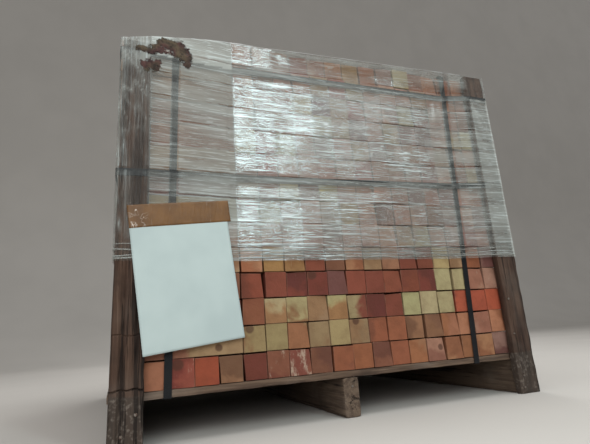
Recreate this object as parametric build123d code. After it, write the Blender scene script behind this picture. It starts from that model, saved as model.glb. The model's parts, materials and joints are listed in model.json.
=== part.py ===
from build123d import *
import os
import random
from math import atan, cos, degrees, radians

# A pallet loaded with square clay bars, held by corner posts, straps and stretch film.
# Lengths are millimetres. +X runs along the front, the front faces -Y and +Z is up.
# The origin lies on the floor under the middle of the whole outline.

# Fired clay bars, nominally 5 x 5 x 25 cm
BAR_WIDTH = 51.0
BAR_HEIGHT = 58.0
BAR_LENGTH = 255.0
BAR_JOINT = 1.4        # mean joint between bars that lie side by side
TIGHT_JOINT = 0.4      # least mean joint in the column, where the bars are packed closer
ROW_JOINT = 3.0        # joint between two rows, end to end
COLUMN_JOINT = 3.0     # open joint between the column and the end-on bars

# How the bars are stacked: a column of crosswise bars on the left, end-on bars beside it
COURSES = 14
ROWS_DEEP = 4
END_ON_BARS = 14
END_ON_COURSES = (1,)                                     # courses whose column lies end-on too
WIDE_JOINTS = {1: (4, 10), 2: (9,), 3: (11,), 4: (1, 11)}   # joints that gape, by course
WIDE_WEIGHT = 7.0      # a gaping joint's share against an ordinary one
JOINT_DEPTH = 45.0     # how far the joints are cut in from the faces
MAX_SETBACK = 3.5      # how far a bar may stand back from the face of the load
TOP_GROOVE_DEPTH = 3.0
TOP_GROOVE_WIDTH = 1.2

# Pallet
LEFT_MARGIN = 13.0     # the deck reaches this far past the load on the left
RIGHT_MARGIN = 57.0
DECK_BOARDS = 7
BOARD_WIDTH = 120.0
BOARD_THICKNESS = 16.0
STRINGER_WIDTH = 40.0
STRINGER_HEIGHT = 86.0
STRINGER_INSET = 18.0  # outer stringers' distance from the deck's ends
CENTRE_STRINGER_SHIFT = -12.0

# Corner posts, boards nailed to the ends of the outer stringers
POST_WIDTH = 66.0
POST_THICKNESS = 22.0
POST_CHAMFER = 3.0
SHORT_POST_DROP = 47.0 # how far the front left post stops below the top of the load

# Plastic straps. The upright ones lean, so each has its distance from the near side of the
# load at the foot and at the top.
STRAP_WIDTH = 16.0
STRAP_THICKNESS = 0.8
STRAP_SEAT = 0.4
STRAP_BEND = 1.0
LEFT_STRAP_FOOT = 99.0
LEFT_STRAP_TOP = 123.0
RIGHT_STRAP_FOOT = 119.0
RIGHT_STRAP_TOP = 90.0
LOWER_STRAP_RISE = 456.0       # above the deck
LOWER_STRAP_SLOPE = 1.1        # degrees, its right-hand side higher
UPPER_STRAP_DROP = 76.0        # below the top of the load

# Between the posts the film is drawn in to the bars and presses the level straps in with it
FIRST_RUN = 205.0              # from the front left post's edge to where they lie against the bars
RUN = 105.0                    # the same beside the other posts, on the front and back
SIDE_RUN = 60.0                # and on the left side

# Stretch film
FILM_THICKNESS = 0.8
FILM_SEAT = 0.3
FILM_RISE = 257.0              # its lower edge, above the deck
FILM_COLLAR = 170.0            # width that is folded in over the top

# Paper sheet and the tape across its upper edge
SHEET_WIDTH = 210.0
SHEET_HEIGHT = 297.0
SHEET_THICKNESS = 0.3
SHEET_TURN = 6.35              # degrees, its right-hand side higher
SHEET_ACROSS = 161.0           # middle of its lower edge, from the deck's left end
SHEET_RISE = 79.0              # and above the deck
TAPE_LENGTH = 218.0
TAPE_WIDTH = 49.0
TAPE_THICKNESS = 0.3
TAPE_SHIFT = 4.0               # its middle, right of the middle of the sheet
TAPE_DROP = 15.0               # and below the sheet's upper edge
LABEL_SEAT = 0.2

# Worked out from the sizes above
END_ON_WIDTH = END_ON_BARS * BAR_WIDTH + (END_ON_BARS - 1) * BAR_JOINT
LOAD_WIDTH = BAR_LENGTH + COLUMN_JOINT + END_ON_WIDTH
LOAD_DEPTH = ROWS_DEEP * BAR_LENGTH + (ROWS_DEEP - 1) * ROW_JOINT
CROSSWISE_BARS = int((LOAD_DEPTH + TIGHT_JOINT) // (BAR_WIDTH + TIGHT_JOINT))
COLUMN_BARS = round(BAR_LENGTH / BAR_WIDTH)
DECK_WIDTH = LOAD_WIDTH + LEFT_MARGIN + RIGHT_MARGIN
DECK_TOP = STRINGER_HEIGHT + BOARD_THICKNESS
LOAD_TOP = DECK_TOP + COURSES * BAR_HEIGHT
POSTS_DEPTH = LOAD_DEPTH + 2 * POST_THICKNESS
FILM_OFFSET = STRAP_SEAT + STRAP_THICKNESS + FILM_SEAT
LABEL_PROUD = 2 * LABEL_SEAT + SHEET_THICKNESS + TAPE_THICKNESS

# Places in the frame of the whole
MID_Y = LABEL_PROUD / 2        # the load sits this far back, so that the outline is centred
LOAD_LEFT = -DECK_WIDTH / 2 + LEFT_MARGIN
LOAD_RIGHT = LOAD_LEFT + LOAD_WIDTH
LOAD_FRONT = MID_Y - LOAD_DEPTH / 2
LOAD_BACK = MID_Y + LOAD_DEPTH / 2
END_ON_LEFT = LOAD_LEFT + BAR_LENGTH + COLUMN_JOINT

ON_FLOOR = (Align.CENTER, Align.CENTER, Align.MIN)


def spread(length, count, width, rng, wide=()):
    """Start and end of each of count bars along a length, with uneven joints between them."""
    joints = [WIDE_WEIGHT if joint in wide else rng.uniform(0.6, 1.4) for joint in range(1, count)]
    share = (length - count * width) / sum(joints)
    spans = []
    start = 0.0
    for joint in joints + [0.0]:
        spans.append((start, start + width))
        start += width + joint * share
    return spans


def shifted(spans, distance):
    """The same bars further along."""
    return [(start + distance, end + distance) for start, end in spans]


def stand_back(spans, rng):
    """Give each bar of a face its own distance behind the face of the load."""
    return [(start, end, rng.uniform(0, MAX_SETBACK)) for start, end in spans]


def course_faces(course):
    """The bars that show on the front, right, back and left face of a course, in order round it."""
    rng = random.Random(course)
    rows = [(n * (BAR_LENGTH + ROW_JOINT), n * (BAR_LENGTH + ROW_JOINT) + BAR_LENGTH) for n in range(ROWS_DEEP)]
    if course in END_ON_COURSES:
        column = spread(BAR_LENGTH, COLUMN_BARS, BAR_LENGTH / COLUMN_BARS - TIGHT_JOINT, rng)
        column_side = rows
    else:
        column = [(0.0, BAR_LENGTH)]
        column_side = spread(LOAD_DEPTH, CROSSWISE_BARS, BAR_WIDTH, rng)
    front = spread(END_ON_WIDTH, END_ON_BARS, BAR_WIDTH, rng, WIDE_JOINTS.get(course, ()))
    back = spread(END_ON_WIDTH, END_ON_BARS, BAR_WIDTH, rng)
    sides = (
        column + shifted(front, BAR_LENGTH + COLUMN_JOINT),
        rows,
        back + shifted(column, END_ON_WIDTH + COLUMN_JOINT),
        column_side,
    )
    return [stand_back(spans, rng) for spans in sides]


def course_outline(course):
    """Plan of a course as points round the load: bar ends at their own depths, joints cut in."""
    faces = course_faces(course)
    lengths = (LOAD_WIDTH, LOAD_DEPTH, LOAD_WIDTH, LOAD_DEPTH)
    place = (
        lambda along, inward: (LOAD_LEFT + along, LOAD_FRONT + inward),
        lambda along, inward: (LOAD_RIGHT - inward, LOAD_FRONT + along),
        lambda along, inward: (LOAD_RIGHT - along, LOAD_BACK - inward),
        lambda along, inward: (LOAD_LEFT + inward, LOAD_BACK - along),
    )
    points = []
    for side, bars in enumerate(faces):
        next_setback = faces[(side + 1) % 4][0][2]
        for bar, (start, end, setback) in enumerate(bars):
            if bar > 0:
                points.append(place[side](start, JOINT_DEPTH))
                points.append(place[side](start, setback))
            if bar < len(bars) - 1:
                points.append(place[side](end, setback))
                points.append(place[side](end, JOINT_DEPTH))
            else:
                points.append(place[side](lengths[side] - next_setback, setback))
    return points


def course_solid(course):
    """One course of bars, standing on the course below."""
    plan = make_face(Polyline(*course_outline(course), close=True))
    return Pos(0, 0, DECK_TOP + (course - 1) * BAR_HEIGHT) * extrude(plan, amount=BAR_HEIGHT)


def missing_depth():
    """How far behind the load's face the top course's second crosswise bar starts. The first is missing."""
    return LOAD_DEPTH - course_faces(COURSES)[3][-2][1]


def missing_bar():
    """A cutter for the front bar of the column in the top course, with the joints round it."""
    left, front = LOAD_LEFT - 1, LOAD_FRONT - 1
    width, depth = END_ON_LEFT - left, LOAD_FRONT + missing_depth() - front
    return Pos(left, front, LOAD_TOP - BAR_HEIGHT) * Box(width, depth, BAR_HEIGHT + 1, align=Align.MIN)


def top_groove(x, y, width, depth):
    """A cutter for one joint in the top of the load."""
    return Pos(x, y, LOAD_TOP) * Box(width, depth, 2 * TOP_GROOVE_DEPTH)


def top_grooves():
    """Cutters for the joints between the bars in the top of the load."""
    faces = course_faces(COURSES)
    column_middle = LOAD_LEFT + BAR_LENGTH / 2
    cutters = [top_groove(END_ON_LEFT - COLUMN_JOINT / 2, MID_Y, COLUMN_JOINT, LOAD_DEPTH)]
    for start, end, setback in faces[0][1:-1]:
        cutters.append(top_groove(LOAD_LEFT + end, MID_Y, TOP_GROOVE_WIDTH, LOAD_DEPTH))
    for start, end, setback in faces[1][:-1]:
        y = LOAD_FRONT + end + ROW_JOINT / 2
        cutters.append(top_groove((END_ON_LEFT + LOAD_RIGHT) / 2, y, END_ON_WIDTH, ROW_JOINT))
    for start, end, setback in faces[3][:-2]:
        cutters.append(top_groove(column_middle, LOAD_BACK - end, BAR_LENGTH, TOP_GROOVE_WIDTH))
    return cutters


def deck_board(number):
    """One board of the deck, counted from the front."""
    pitch = (LOAD_DEPTH - BOARD_WIDTH) / (DECK_BOARDS - 1)
    y = LOAD_FRONT + BOARD_WIDTH / 2 + (number - 1) * pitch
    return Pos(0, y, STRINGER_HEIGHT) * Box(DECK_WIDTH, BOARD_WIDTH, BOARD_THICKNESS, align=ON_FLOOR)


def stringer(x):
    """A beam under the deck, from front to back."""
    return Pos(x, MID_Y, 0) * Box(STRINGER_WIDTH, LOAD_DEPTH, STRINGER_HEIGHT, align=ON_FLOOR)


def corner_post(side, face, drop=0.0):
    """A post at one corner: side is -1 for left and 1 for right, face -1 for front and 1 for back."""
    board = Box(POST_WIDTH, POST_THICKNESS, LOAD_TOP - drop, align=ON_FLOOR)
    board = chamfer(board.edges().filter_by(Axis.Z), POST_CHAMFER)
    x = side * (DECK_WIDTH - POST_WIDTH) / 2
    y = MID_Y + face * (LOAD_DEPTH + POST_THICKNESS) / 2
    return Pos(x, y, 0) * board


def strap_loop(corners):
    """A closed loop of strap round a shape given by its corners, lying flat on the XY plane."""
    seat = offset(make_face(Polyline(*corners, close=True)), amount=STRAP_SEAT, kind=Kind.INTERSECTION)
    inner = fillet(seat.vertices(), STRAP_BEND)
    outer = offset(inner, amount=STRAP_THICKNESS)
    return extrude(outer - inner, amount=STRAP_WIDTH / 2, both=True)


def upright_strap(foot_x, top_x, missing=0.0):
    """A strap over the load and under the deck, leaning from foot_x to top_x.
    Where a bar is missing, it cuts that corner, missing deep and a bar high."""
    rise = LOAD_TOP - STRINGER_HEIGHT
    lean = atan((top_x - foot_x) / rise)
    half, deep = rise / 2 / cos(lean), LOAD_DEPTH / 2
    corners = [(half, -deep), (half, deep), (-half, deep), (-half, missing - deep)]
    if missing:
        corners.append((BAR_HEIGHT / cos(lean) - half, -deep))
    loop = Rot(0, 90 + degrees(lean), 0) * strap_loop(corners)
    return Pos((foot_x + top_x) / 2, MID_Y, (LOAD_TOP + STRINGER_HEIGHT) / 2) * loop


def held_outline(shrink=1.0):
    """Plan of what film and level straps go round, about the middle: the posts, and between them the
    load's front, back and left, over the upright straps. On the right the load lies too far in for them
    to reach it. shrink divides the X values."""
    wide, deep = DECK_WIDTH / 2, POSTS_DEPTH / 2
    face = deep - POST_THICKNESS + STRAP_SEAT + STRAP_THICKNESS
    edge = wide - POST_WIDTH
    load, end = LEFT_MARGIN - wide, deep - POST_THICKNESS
    points = [
        (-wide, -deep), (-edge, -deep), (FIRST_RUN - edge, -face), (edge - RUN, -face), (edge, -deep),
        (wide, -deep), (wide, deep), (edge, deep), (edge - RUN, face), (RUN - edge, face),
        (-edge, deep), (-wide, deep), (-wide, end), (load, end - SIDE_RUN), (load, SIDE_RUN - end), (-wide, -end),
    ]
    return [(x / shrink, y) for x, y in points]


def level_strap(z, slope=0.0):
    """A strap round the load and its posts, higher on the right by slope degrees."""
    loop = strap_loop(held_outline(cos(radians(slope))))
    return Pos(0, MID_Y, z) * Rot(0, -slope, 0) * loop


def held_block(gap, height):
    """A block of the held outline with a gap all round."""
    plan = make_face(Polyline(*held_outline(), close=True))
    return extrude(offset(plan, amount=gap), amount=height)


def stretch_film():
    """Film round the posts and the load, open below, folded in over the edge of the top."""
    foot, top = DECK_TOP + FILM_RISE, LOAD_TOP + FILM_OFFSET
    outer = held_block(FILM_OFFSET + FILM_THICKNESS, top + FILM_THICKNESS - foot)
    inner = held_block(FILM_OFFSET, top - foot)
    hole = Box(DECK_WIDTH - 2 * FILM_COLLAR, POSTS_DEPTH - 2 * FILM_COLLAR, 4 * FILM_THICKNESS)
    return Pos(0, MID_Y, foot) * (outer - inner) - Pos(0, MID_Y, top) * hole


def leaf_on_film(width, height, thickness, lift, across, up):
    """A thin leaf that follows the film on the front, lift off it. Its middle is measured on the turned
    sheet, from the middle of the sheet's foot."""
    near = FILM_OFFSET + FILM_THICKNESS + lift
    shell = Pos(0, MID_Y, 0) * (held_block(near + thickness, LOAD_TOP) - held_block(near, LOAD_TOP))
    foot = Pos(SHEET_ACROSS - DECK_WIDTH / 2, MID_Y - POSTS_DEPTH / 2, DECK_TOP + SHEET_RISE)
    return shell & foot * Rot(0, -SHEET_TURN, 0) * Pos(across, 0, up) * Box(width, 4 * POST_THICKNESS, height)


def paper_sheet():
    """The blank sheet on the front, which hangs below the film."""
    return leaf_on_film(SHEET_WIDTH, SHEET_HEIGHT, SHEET_THICKNESS, LABEL_SEAT, 0, SHEET_HEIGHT / 2)


def paper_tape():
    """The strip of tape across the sheet's upper edge."""
    lift = 2 * LABEL_SEAT + SHEET_THICKNESS
    return leaf_on_film(TAPE_LENGTH, TAPE_WIDTH, TAPE_THICKNESS, lift, TAPE_SHIFT, SHEET_HEIGHT - TAPE_DROP)


def pallet_pieces():
    """Stringers and deck boards by name."""
    outer_x = DECK_WIDTH / 2 - STRINGER_INSET - STRINGER_WIDTH / 2
    pieces = {
        "stringer_left": stringer(-outer_x),
        "stringer_centre": stringer(CENTRE_STRINGER_SHIFT),
        "stringer_right": stringer(outer_x),
    }
    for number in range(1, DECK_BOARDS + 1):
        pieces[f"deck_board_{number}"] = deck_board(number)
    return pieces


def load_pieces():
    """The courses of bars by name. The top one has its joints cut in from above too."""
    pieces = {f"course_{course:02d}": course_solid(course) for course in range(1, COURSES)}
    pieces[f"course_{COURSES:02d}"] = course_solid(COURSES) - top_grooves() - missing_bar()
    return pieces


def holding_pieces():
    """Posts, straps, film, sheet and tape by name."""
    return {
        "post_front_left": corner_post(-1, -1, SHORT_POST_DROP),
        "post_front_right": corner_post(1, -1),
        "post_back_left": corner_post(-1, 1),
        "post_back_right": corner_post(1, 1),
        "strap_left": upright_strap(LOAD_LEFT + LEFT_STRAP_FOOT, LOAD_LEFT + LEFT_STRAP_TOP, missing_depth()),
        "strap_right": upright_strap(LOAD_RIGHT - RIGHT_STRAP_FOOT, LOAD_RIGHT - RIGHT_STRAP_TOP),
        "strap_lower": level_strap(DECK_TOP + LOWER_STRAP_RISE, LOWER_STRAP_SLOPE),
        "strap_upper": level_strap(LOAD_TOP - UPPER_STRAP_DROP),
        "stretch_film": stretch_film(),
        "paper_sheet": paper_sheet(),
        "paper_tape": paper_tape(),
    }


os.makedirs("parts", exist_ok=True)
for name, piece in {**pallet_pieces(), **load_pieces(), **holding_pieces()}.items():
    piece.label = name
    export_step(piece, f"parts/{name}.step")
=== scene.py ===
import json
import math
import random
from collections import namedtuple

import bmesh
import bpy
from mathutils import Matrix, Vector, noise

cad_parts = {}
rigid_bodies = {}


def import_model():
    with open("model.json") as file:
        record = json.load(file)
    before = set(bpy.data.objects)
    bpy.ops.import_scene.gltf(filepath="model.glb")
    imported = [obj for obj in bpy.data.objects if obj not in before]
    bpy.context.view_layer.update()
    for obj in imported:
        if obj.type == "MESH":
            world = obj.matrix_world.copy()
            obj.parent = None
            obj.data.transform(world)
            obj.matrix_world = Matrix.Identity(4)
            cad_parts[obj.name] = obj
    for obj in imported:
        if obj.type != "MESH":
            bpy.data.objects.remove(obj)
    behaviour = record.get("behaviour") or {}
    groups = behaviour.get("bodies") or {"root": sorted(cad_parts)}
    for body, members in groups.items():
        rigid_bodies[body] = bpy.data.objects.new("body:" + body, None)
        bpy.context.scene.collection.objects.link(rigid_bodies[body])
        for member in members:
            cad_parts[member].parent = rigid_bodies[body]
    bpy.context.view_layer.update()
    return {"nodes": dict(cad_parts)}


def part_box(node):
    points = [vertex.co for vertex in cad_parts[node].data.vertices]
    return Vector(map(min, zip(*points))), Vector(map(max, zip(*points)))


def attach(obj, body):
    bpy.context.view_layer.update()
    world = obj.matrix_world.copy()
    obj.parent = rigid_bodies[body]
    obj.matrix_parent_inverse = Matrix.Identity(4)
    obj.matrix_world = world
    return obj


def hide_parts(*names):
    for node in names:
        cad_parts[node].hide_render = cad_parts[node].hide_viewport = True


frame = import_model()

# A pallet loaded with square clay bars, held by corner posts, straps and stretch film.
# Shapes are worked out in millimetres and put into the meshes in metres, in the frame's own place.
MM = 0.001

# The sides of the load and of the film, in the order round it
FRONT, RIGHT, BACK, LEFT = range(4)

# Bars and how they are stacked, as in the frame
BAR_WIDTH = 51.0
BAR_HEIGHT = 58.0
BAR_LENGTH = 255.0
BAR_JOINT = 1.4
TIGHT_JOINT = 0.4          # in the column, where its bars lie end-on
ROW_JOINT = 3.0
COLUMN_JOINT = 3.0
COURSES = 14
BARE_COURSES = 5           # the lowest ones, whose front shows below the film
ROWS_DEEP = 4
END_ON_BARS = 14
COLUMN_BARS = 5
CROSSWISE_BARS = 20
END_ON_COURSES = (1,)
WIDE_JOINTS = {1: (4, 10), 2: (9,), 3: (11,), 4: (1, 11)}   # joints that gape, by course
WIDE_WEIGHT = 7.0              # how wide they are beside the others
JOINT_WEIGHTS = (0.6, 1.4)     # and the others among themselves
MAX_SETBACK = 3.5
LEFT_SETBACK = 0.7             # share of it on the left side
TOP_SETBACKS = (0, 0, 1, 6, 12, 14, 13, 14, 12, 3, 0, 9, 11, 10, 8)   # of the top course's front bars
LEFT_MARGIN = 13.0             # from the deck's left end to the load
ROW_PITCH = BAR_LENGTH + ROW_JOINT
COLUMN_PITCH = BAR_LENGTH + COLUMN_JOINT
END_ON_WIDTH = END_ON_BARS * BAR_WIDTH + (END_ON_BARS - 1) * BAR_JOINT
LOAD_WIDTH = COLUMN_PITCH + END_ON_WIDTH
LOAD_DEPTH = ROWS_DEEP * BAR_LENGTH + (ROWS_DEEP - 1) * ROW_JOINT

# Bars as they are shaped by hand and kiln
BAR_ARRIS = 1.0                # worn edge
BAR_PLAY = 0.45                # how far a corner is off a true block
BAR_WIDTHS = (0.972, 1.012)    # the widths of single bars, as shares of the usual one
BAR_BLANKS = 7                 # different shapes among the bars
BAR_SLACK = 0.06               # the lowest bar misses this share of its height
BAR_TILT = 0.016               # radians
BAR_TURN = 0.002               # radians
CHIPPED_BLANKS = 4             # of the shapes, with a broken corner
CHIP_SIZES = (3.5, 7.0)
CHIP_REACH = 4.0               # how far round a corner it takes the edge along
PATCH_LEAN = 9.0               # how fast a patch of a second colour gains towards its side
BODY_PLAY = 0.06               # how much lighter or darker a bar can be
HUE_PLAY = 0.02

# Boards
DECK_BOARDS = 7
ON_FACE = 0.01                 # a point this near a face lies on it
CORNER_STOPS = (1.6, 4.0)      # points beside each corner of a section
END_STOP = 1.2                 # the last ring of points before a board's end
END_WORN = 0.9
SPLIT_RUN_OUT = 30.0           # over which a split closes at its ends
BREAK_HALF = 2.0               # half of a break's width
NAIL_RADIUS = 3.2
NAIL_DEPTH = 1.6
NAIL_TILT = 0.12               # radians

# Film. Between the posts it is drawn in to the straps on the load, and clings to the bars.
FILM_FOOT = 359.0
FILM_LIFT = 2.0                # outside the posts, and above the load
FIRST_RUN = 190.0              # from the front left post's edge to where it lies over the straps
RUN = 105.0                    # the same beside the other posts, on the front and back
TOP_RUN = 620.0                # beside the front right post, along the film's upper edge
SIDE_RUN = 60.0                # on the left side
# The runs at each side's start and end. On the right side it goes straight from post to post.
RUNS = ((FIRST_RUN, RUN), None, (RUN, RUN), (SIDE_RUN, SIDE_RUN))
POST_REACHES = (66.0, 22.0)    # the posts along the front or back, and along the sides
POST_EDGE = 4.0                # beside a post the film lies as on it for this far
STRAP_PROUD = 3.2              # how far off the load it lies over the straps
STRAP_SLOPE = 0.30             # how fast it leaves a level strap for the bars
STRAP_HALF = 9.0               # half of the place that it keeps for a strap
UPRIGHT_PROUD = 1.9            # how far off the load it lies over an upright strap
UPRIGHT_EDGE = 6.0             # and for how far beside it
BAND_HALF = 8.0                # half of a strap's width
BAND_UNDER = 0.8               # front and back of a level strap, in from the film
BAND_BACK = 1.6
BAND_PITCH = 8.0               # from point to point along it on the front
LOWER_BAND_TURN = 1.1          # degrees
FILM_REST = 1.2                # off the bars that it clings to
LEVEL_CREASE = (0.8, 4.0)      # depth and half width of its creases between courses
UPRIGHT_CREASE = (0.25, 6.0)   # and between the bars of a course
BRIDGE = 0.05                  # how fast it leaves a bar that stands forward
TOP_BRIDGE = 0.25              # the same on the top course
SIDE_SAG = 3.0                 # on the right side, where it reaches nothing
FILM_COLLAR = 170.0
FILM_BEND = 5.0                # radius round the posts
FILM_CORNER_DROP = 48.0        # the top edge comes down to the short post
FILM_CORNER_REACH = 275.0      # from this far along the front
FILM_CORNER_BACK = 75.0        # and along the left side
FILM_PITCH = 5.0               # from point to point along the front
FILM_ROWS = 112
COLLAR_RINGS = 16
FILM_SEED = 77
FILM_CLEAR = 0.08              # how much of what is behind the clearest and the cloudiest film hides
FILM_CLOUDY = 0.94
# How many end-on bars from the left, by course, the film's streaks are strongest over and painted brightest
# as glints
GLINT_STRIP_BARS = {14: 1.4, 13: 1.1, 12: 2.5, 11: 1.8, 10: 2.3, 9: 2.4, 8: 2.4, 7: 0.9}
# The rolls of its lower edge: rise, radius and how far each wanders
FILM_ROLLS = ((7.0, 2.0, 14.0), (15.0, 1.3, 22.0), (24.0, 1.7, 12.0), (33.0, 0.9, 26.0))
ROLL_PITCH = 18.0
ROLL_POINTS = 420

# How far to the right the posts lean at their tops, and the film over them at the top of the load
POST_LEANS = {
    "post_front_left": 17.0, "post_front_right": -13.0,
    "post_back_left": 4.0, "post_back_right": -4.0,
}
FILM_LEANS = (13.0, -9.0, -4.0, 4.0)   # at the front left corner, and on round the load

# Mud: its left and top, its reach, and the middle, half width and half height of each splash from there
MUD_LEFT = -514.0
MUD_TOP = 902.0
MUD_WIDTH = 175.0
MUD_HEIGHT = 125.0
MUD_CELL = 1.6
MUD_SPLASHES = (
    (88.0, -32.0, 26.0, 20.0), (112.0, -38.0, 32.0, 25.0), (133.0, -55.0, 19.0, 25.0),
    (137.0, -74.0, 10.0, 14.0), (68.0, -50.0, 22.0, 14.0), (48.0, -57.0, 28.0, 10.0),
    (28.0, -55.0, 16.0, 9.0), (51.0, -94.0, 25.0, 19.0), (66.0, -84.0, 12.0, 10.0),
)

# Paper and tape
SHEET_WIDTH = 210.0
SHEET_HEIGHT = 297.0
SHEET_TURN = 6.35              # degrees
SHEET_ACROSS = 168.0           # its lower edge's middle, from the deck's left end
SHEET_RISE = 79.0              # and above the deck
SHEET_OFF = 0.5                # off the film
SHEET_THICKNESS = 0.2
SHEET_HANG = 5.0               # how far its lower right corner stands off
TAPE_LENGTH = 218.0
TAPE_WIDTH = 49.0
TAPE_SHIFT = 4.0               # its middle, to the right of the sheet's
TAPE_DROP = 15.0               # and below the sheet's upper edge
TAPE_OFF = 0.75
TAPE_THICKNESS = 0.12

# The view: place in metres, angles in degrees
CAMERA_PLACE = (-0.511, -1.508, 0.1964)
CAMERA_TURN = 21.43            # to the right of straight ahead
CAMERA_PITCH = 13.46           # up
CAMERA_ROLL = -4.07
CAMERA_LENS = 27.96
CAMERA_SENSOR = 36.0


def corners(node):
    """Lowest and highest corner of a node in millimetres."""
    low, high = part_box(node)
    return low / MM, high / MM


DECK_LOW, DECK_HIGH = corners("deck_board_1")
DECK_TOP = DECK_HIGH.z
LOAD_LEFT = DECK_LOW.x + LEFT_MARGIN
LOAD_RIGHT = LOAD_LEFT + LOAD_WIDTH
LOAD_FRONT = DECK_LOW.y
LOAD_BACK = LOAD_FRONT + LOAD_DEPTH
LOAD_TOP = DECK_TOP + COURSES * BAR_HEIGHT
END_ON_LEFT = LOAD_LEFT + COLUMN_PITCH


# Building node trees

class Nodes:
    """A node tree in the making, with short calls that add nodes and join them."""

    def __init__(self, tree):
        self.tree = tree

    def feed(self, socket, value):
        """Join a node's output to a socket, or set the socket's own value."""
        if isinstance(value, bpy.types.NodeSocket):
            self.tree.links.new(value, socket)
        else:
            socket.default_value = value

    def add(self, kind, settings=None, **inputs):
        """Add a node. Its inputs are given by name, with an underline for each space."""
        node = self.tree.nodes.new(kind)
        for key, value in (settings or {}).items():
            setattr(node, key, value)
        for key, value in inputs.items():
            self.feed(node.inputs[key.replace("_", " ")], value)
        return node

    def reckon(self, operation, first, second, clamp=False, kind="ShaderNodeMath"):
        """The node that reckons with two numbers, or with two vectors where its kind is for those."""
        settings = {"operation": operation}
        if clamp:
            settings["use_clamp"] = True
        node = self.add(kind, settings)
        self.feed(node.inputs[0], first)
        self.feed(node.inputs[1], second)
        return node

    def plus(self, first, second, clamp=False):
        return self.reckon("ADD", first, second, clamp).outputs[0]

    def minus(self, first, second, clamp=False):
        return self.reckon("SUBTRACT", first, second, clamp).outputs[0]

    def times(self, first, second):
        return self.reckon("MULTIPLY", first, second).outputs[0]


# Materials

def linear(colour):
    """A colour given as 0 to 255 screen values, as the shader's own numbers."""
    numbers = []
    for value in colour:
        share = value / 255
        numbers.append(share / 12.92 if share <= 0.04045 else ((share + 0.055) / 1.055) ** 2.4)
    return numbers + [1.0]


def scaled(values, share):
    return [value * share for value in values]


class Finish(Nodes):
    """A material in the making: its shader, and short calls that put patterns in front of it."""

    def __init__(self, name, roughness=0.8, specular=0.5):
        self.material = bpy.data.materials.new(name)
        self.material.use_nodes = True
        super().__init__(self.material.node_tree)
        self.shader = self.tree.nodes["Principled BSDF"]
        self.shader.inputs["Roughness"].default_value = roughness
        self.shader.inputs["Specular IOR Level"].default_value = specular

    def place(self):
        return self.add("ShaderNodeTexCoord").outputs["Object"]

    def unwrapped(self):
        return self.add("ShaderNodeTexCoord").outputs["UV"]

    def attribute(self, name, output="Fac"):
        return self.add("ShaderNodeAttribute", {"attribute_name": name}).outputs[output]

    def vectors(self, operation, first, second, output="Vector"):
        return self.reckon(operation, first, second, kind="ShaderNodeVectorMath").outputs[output]

    def shifted(self, vector, shift):
        return self.vectors("ADD", vector, shift)

    def dot(self, first, second):
        return self.vectors("DOT_PRODUCT", first, second, "Value")

    def noise(self, vector, scale, detail=3.0, roughness=0.55, distortion=0.0):
        node = self.add("ShaderNodeTexNoise", Vector=vector, Scale=scale, Detail=detail,
                        Roughness=roughness, Distortion=distortion)
        return node.outputs["Fac"]

    def drawn_noise(self, vector, scales, shift=(0, 0, 0), **settings):
        """Noise with a scale of its own along each axis."""
        place = self.add("ShaderNodeMapping", Vector=vector, Scale=scales, Location=shift)
        return self.noise(place.outputs["Vector"], 1.0, **settings)

    def cells(self, vector, scale):
        return self.add("ShaderNodeTexVoronoi", Vector=vector, Scale=scale).outputs["Distance"]

    def span(self, value, low, high, to_low=0.0, to_high=1.0):
        """Spread the range from low to high over another one, smoothly at both ends."""
        node = self.add("ShaderNodeMapRange", {"interpolation_type": "SMOOTHSTEP"}, Value=value,
                        From_Min=low, From_Max=high, To_Min=to_low, To_Max=to_high)
        return node.outputs["Result"]

    def blend(self, factor, first, second):
        """Mix two colours. Each is a node's output, or 0 to 255 screen values."""
        node = self.add("ShaderNodeMix", {"data_type": "RGBA"})
        self.feed(node.inputs[0], factor)
        for socket, colour in ((node.inputs[6], first), (node.inputs[7], second)):
            self.feed(socket, colour if isinstance(colour, bpy.types.NodeSocket) else linear(colour))
        return node.outputs[2]

    def bump(self, height, distance, strength=1.0, under=None):
        node = self.add("ShaderNodeBump", Height=height, Distance=distance, Strength=strength)
        if under is not None:
            self.feed(node.inputs["Normal"], under)
        return node.outputs["Normal"]

    def finish(self, **inputs):
        for key, value in inputs.items():
            self.feed(self.shader.inputs[key.replace("_", " ")], value)
        return self.material


KILN_SHADE = (84, 54, 42)
LIME = (182, 164, 144)
BURNT = (74, 48, 38)
IRON_SPECK = (52, 38, 32)
WORN_CLAY = (140, 110, 92)


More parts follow.
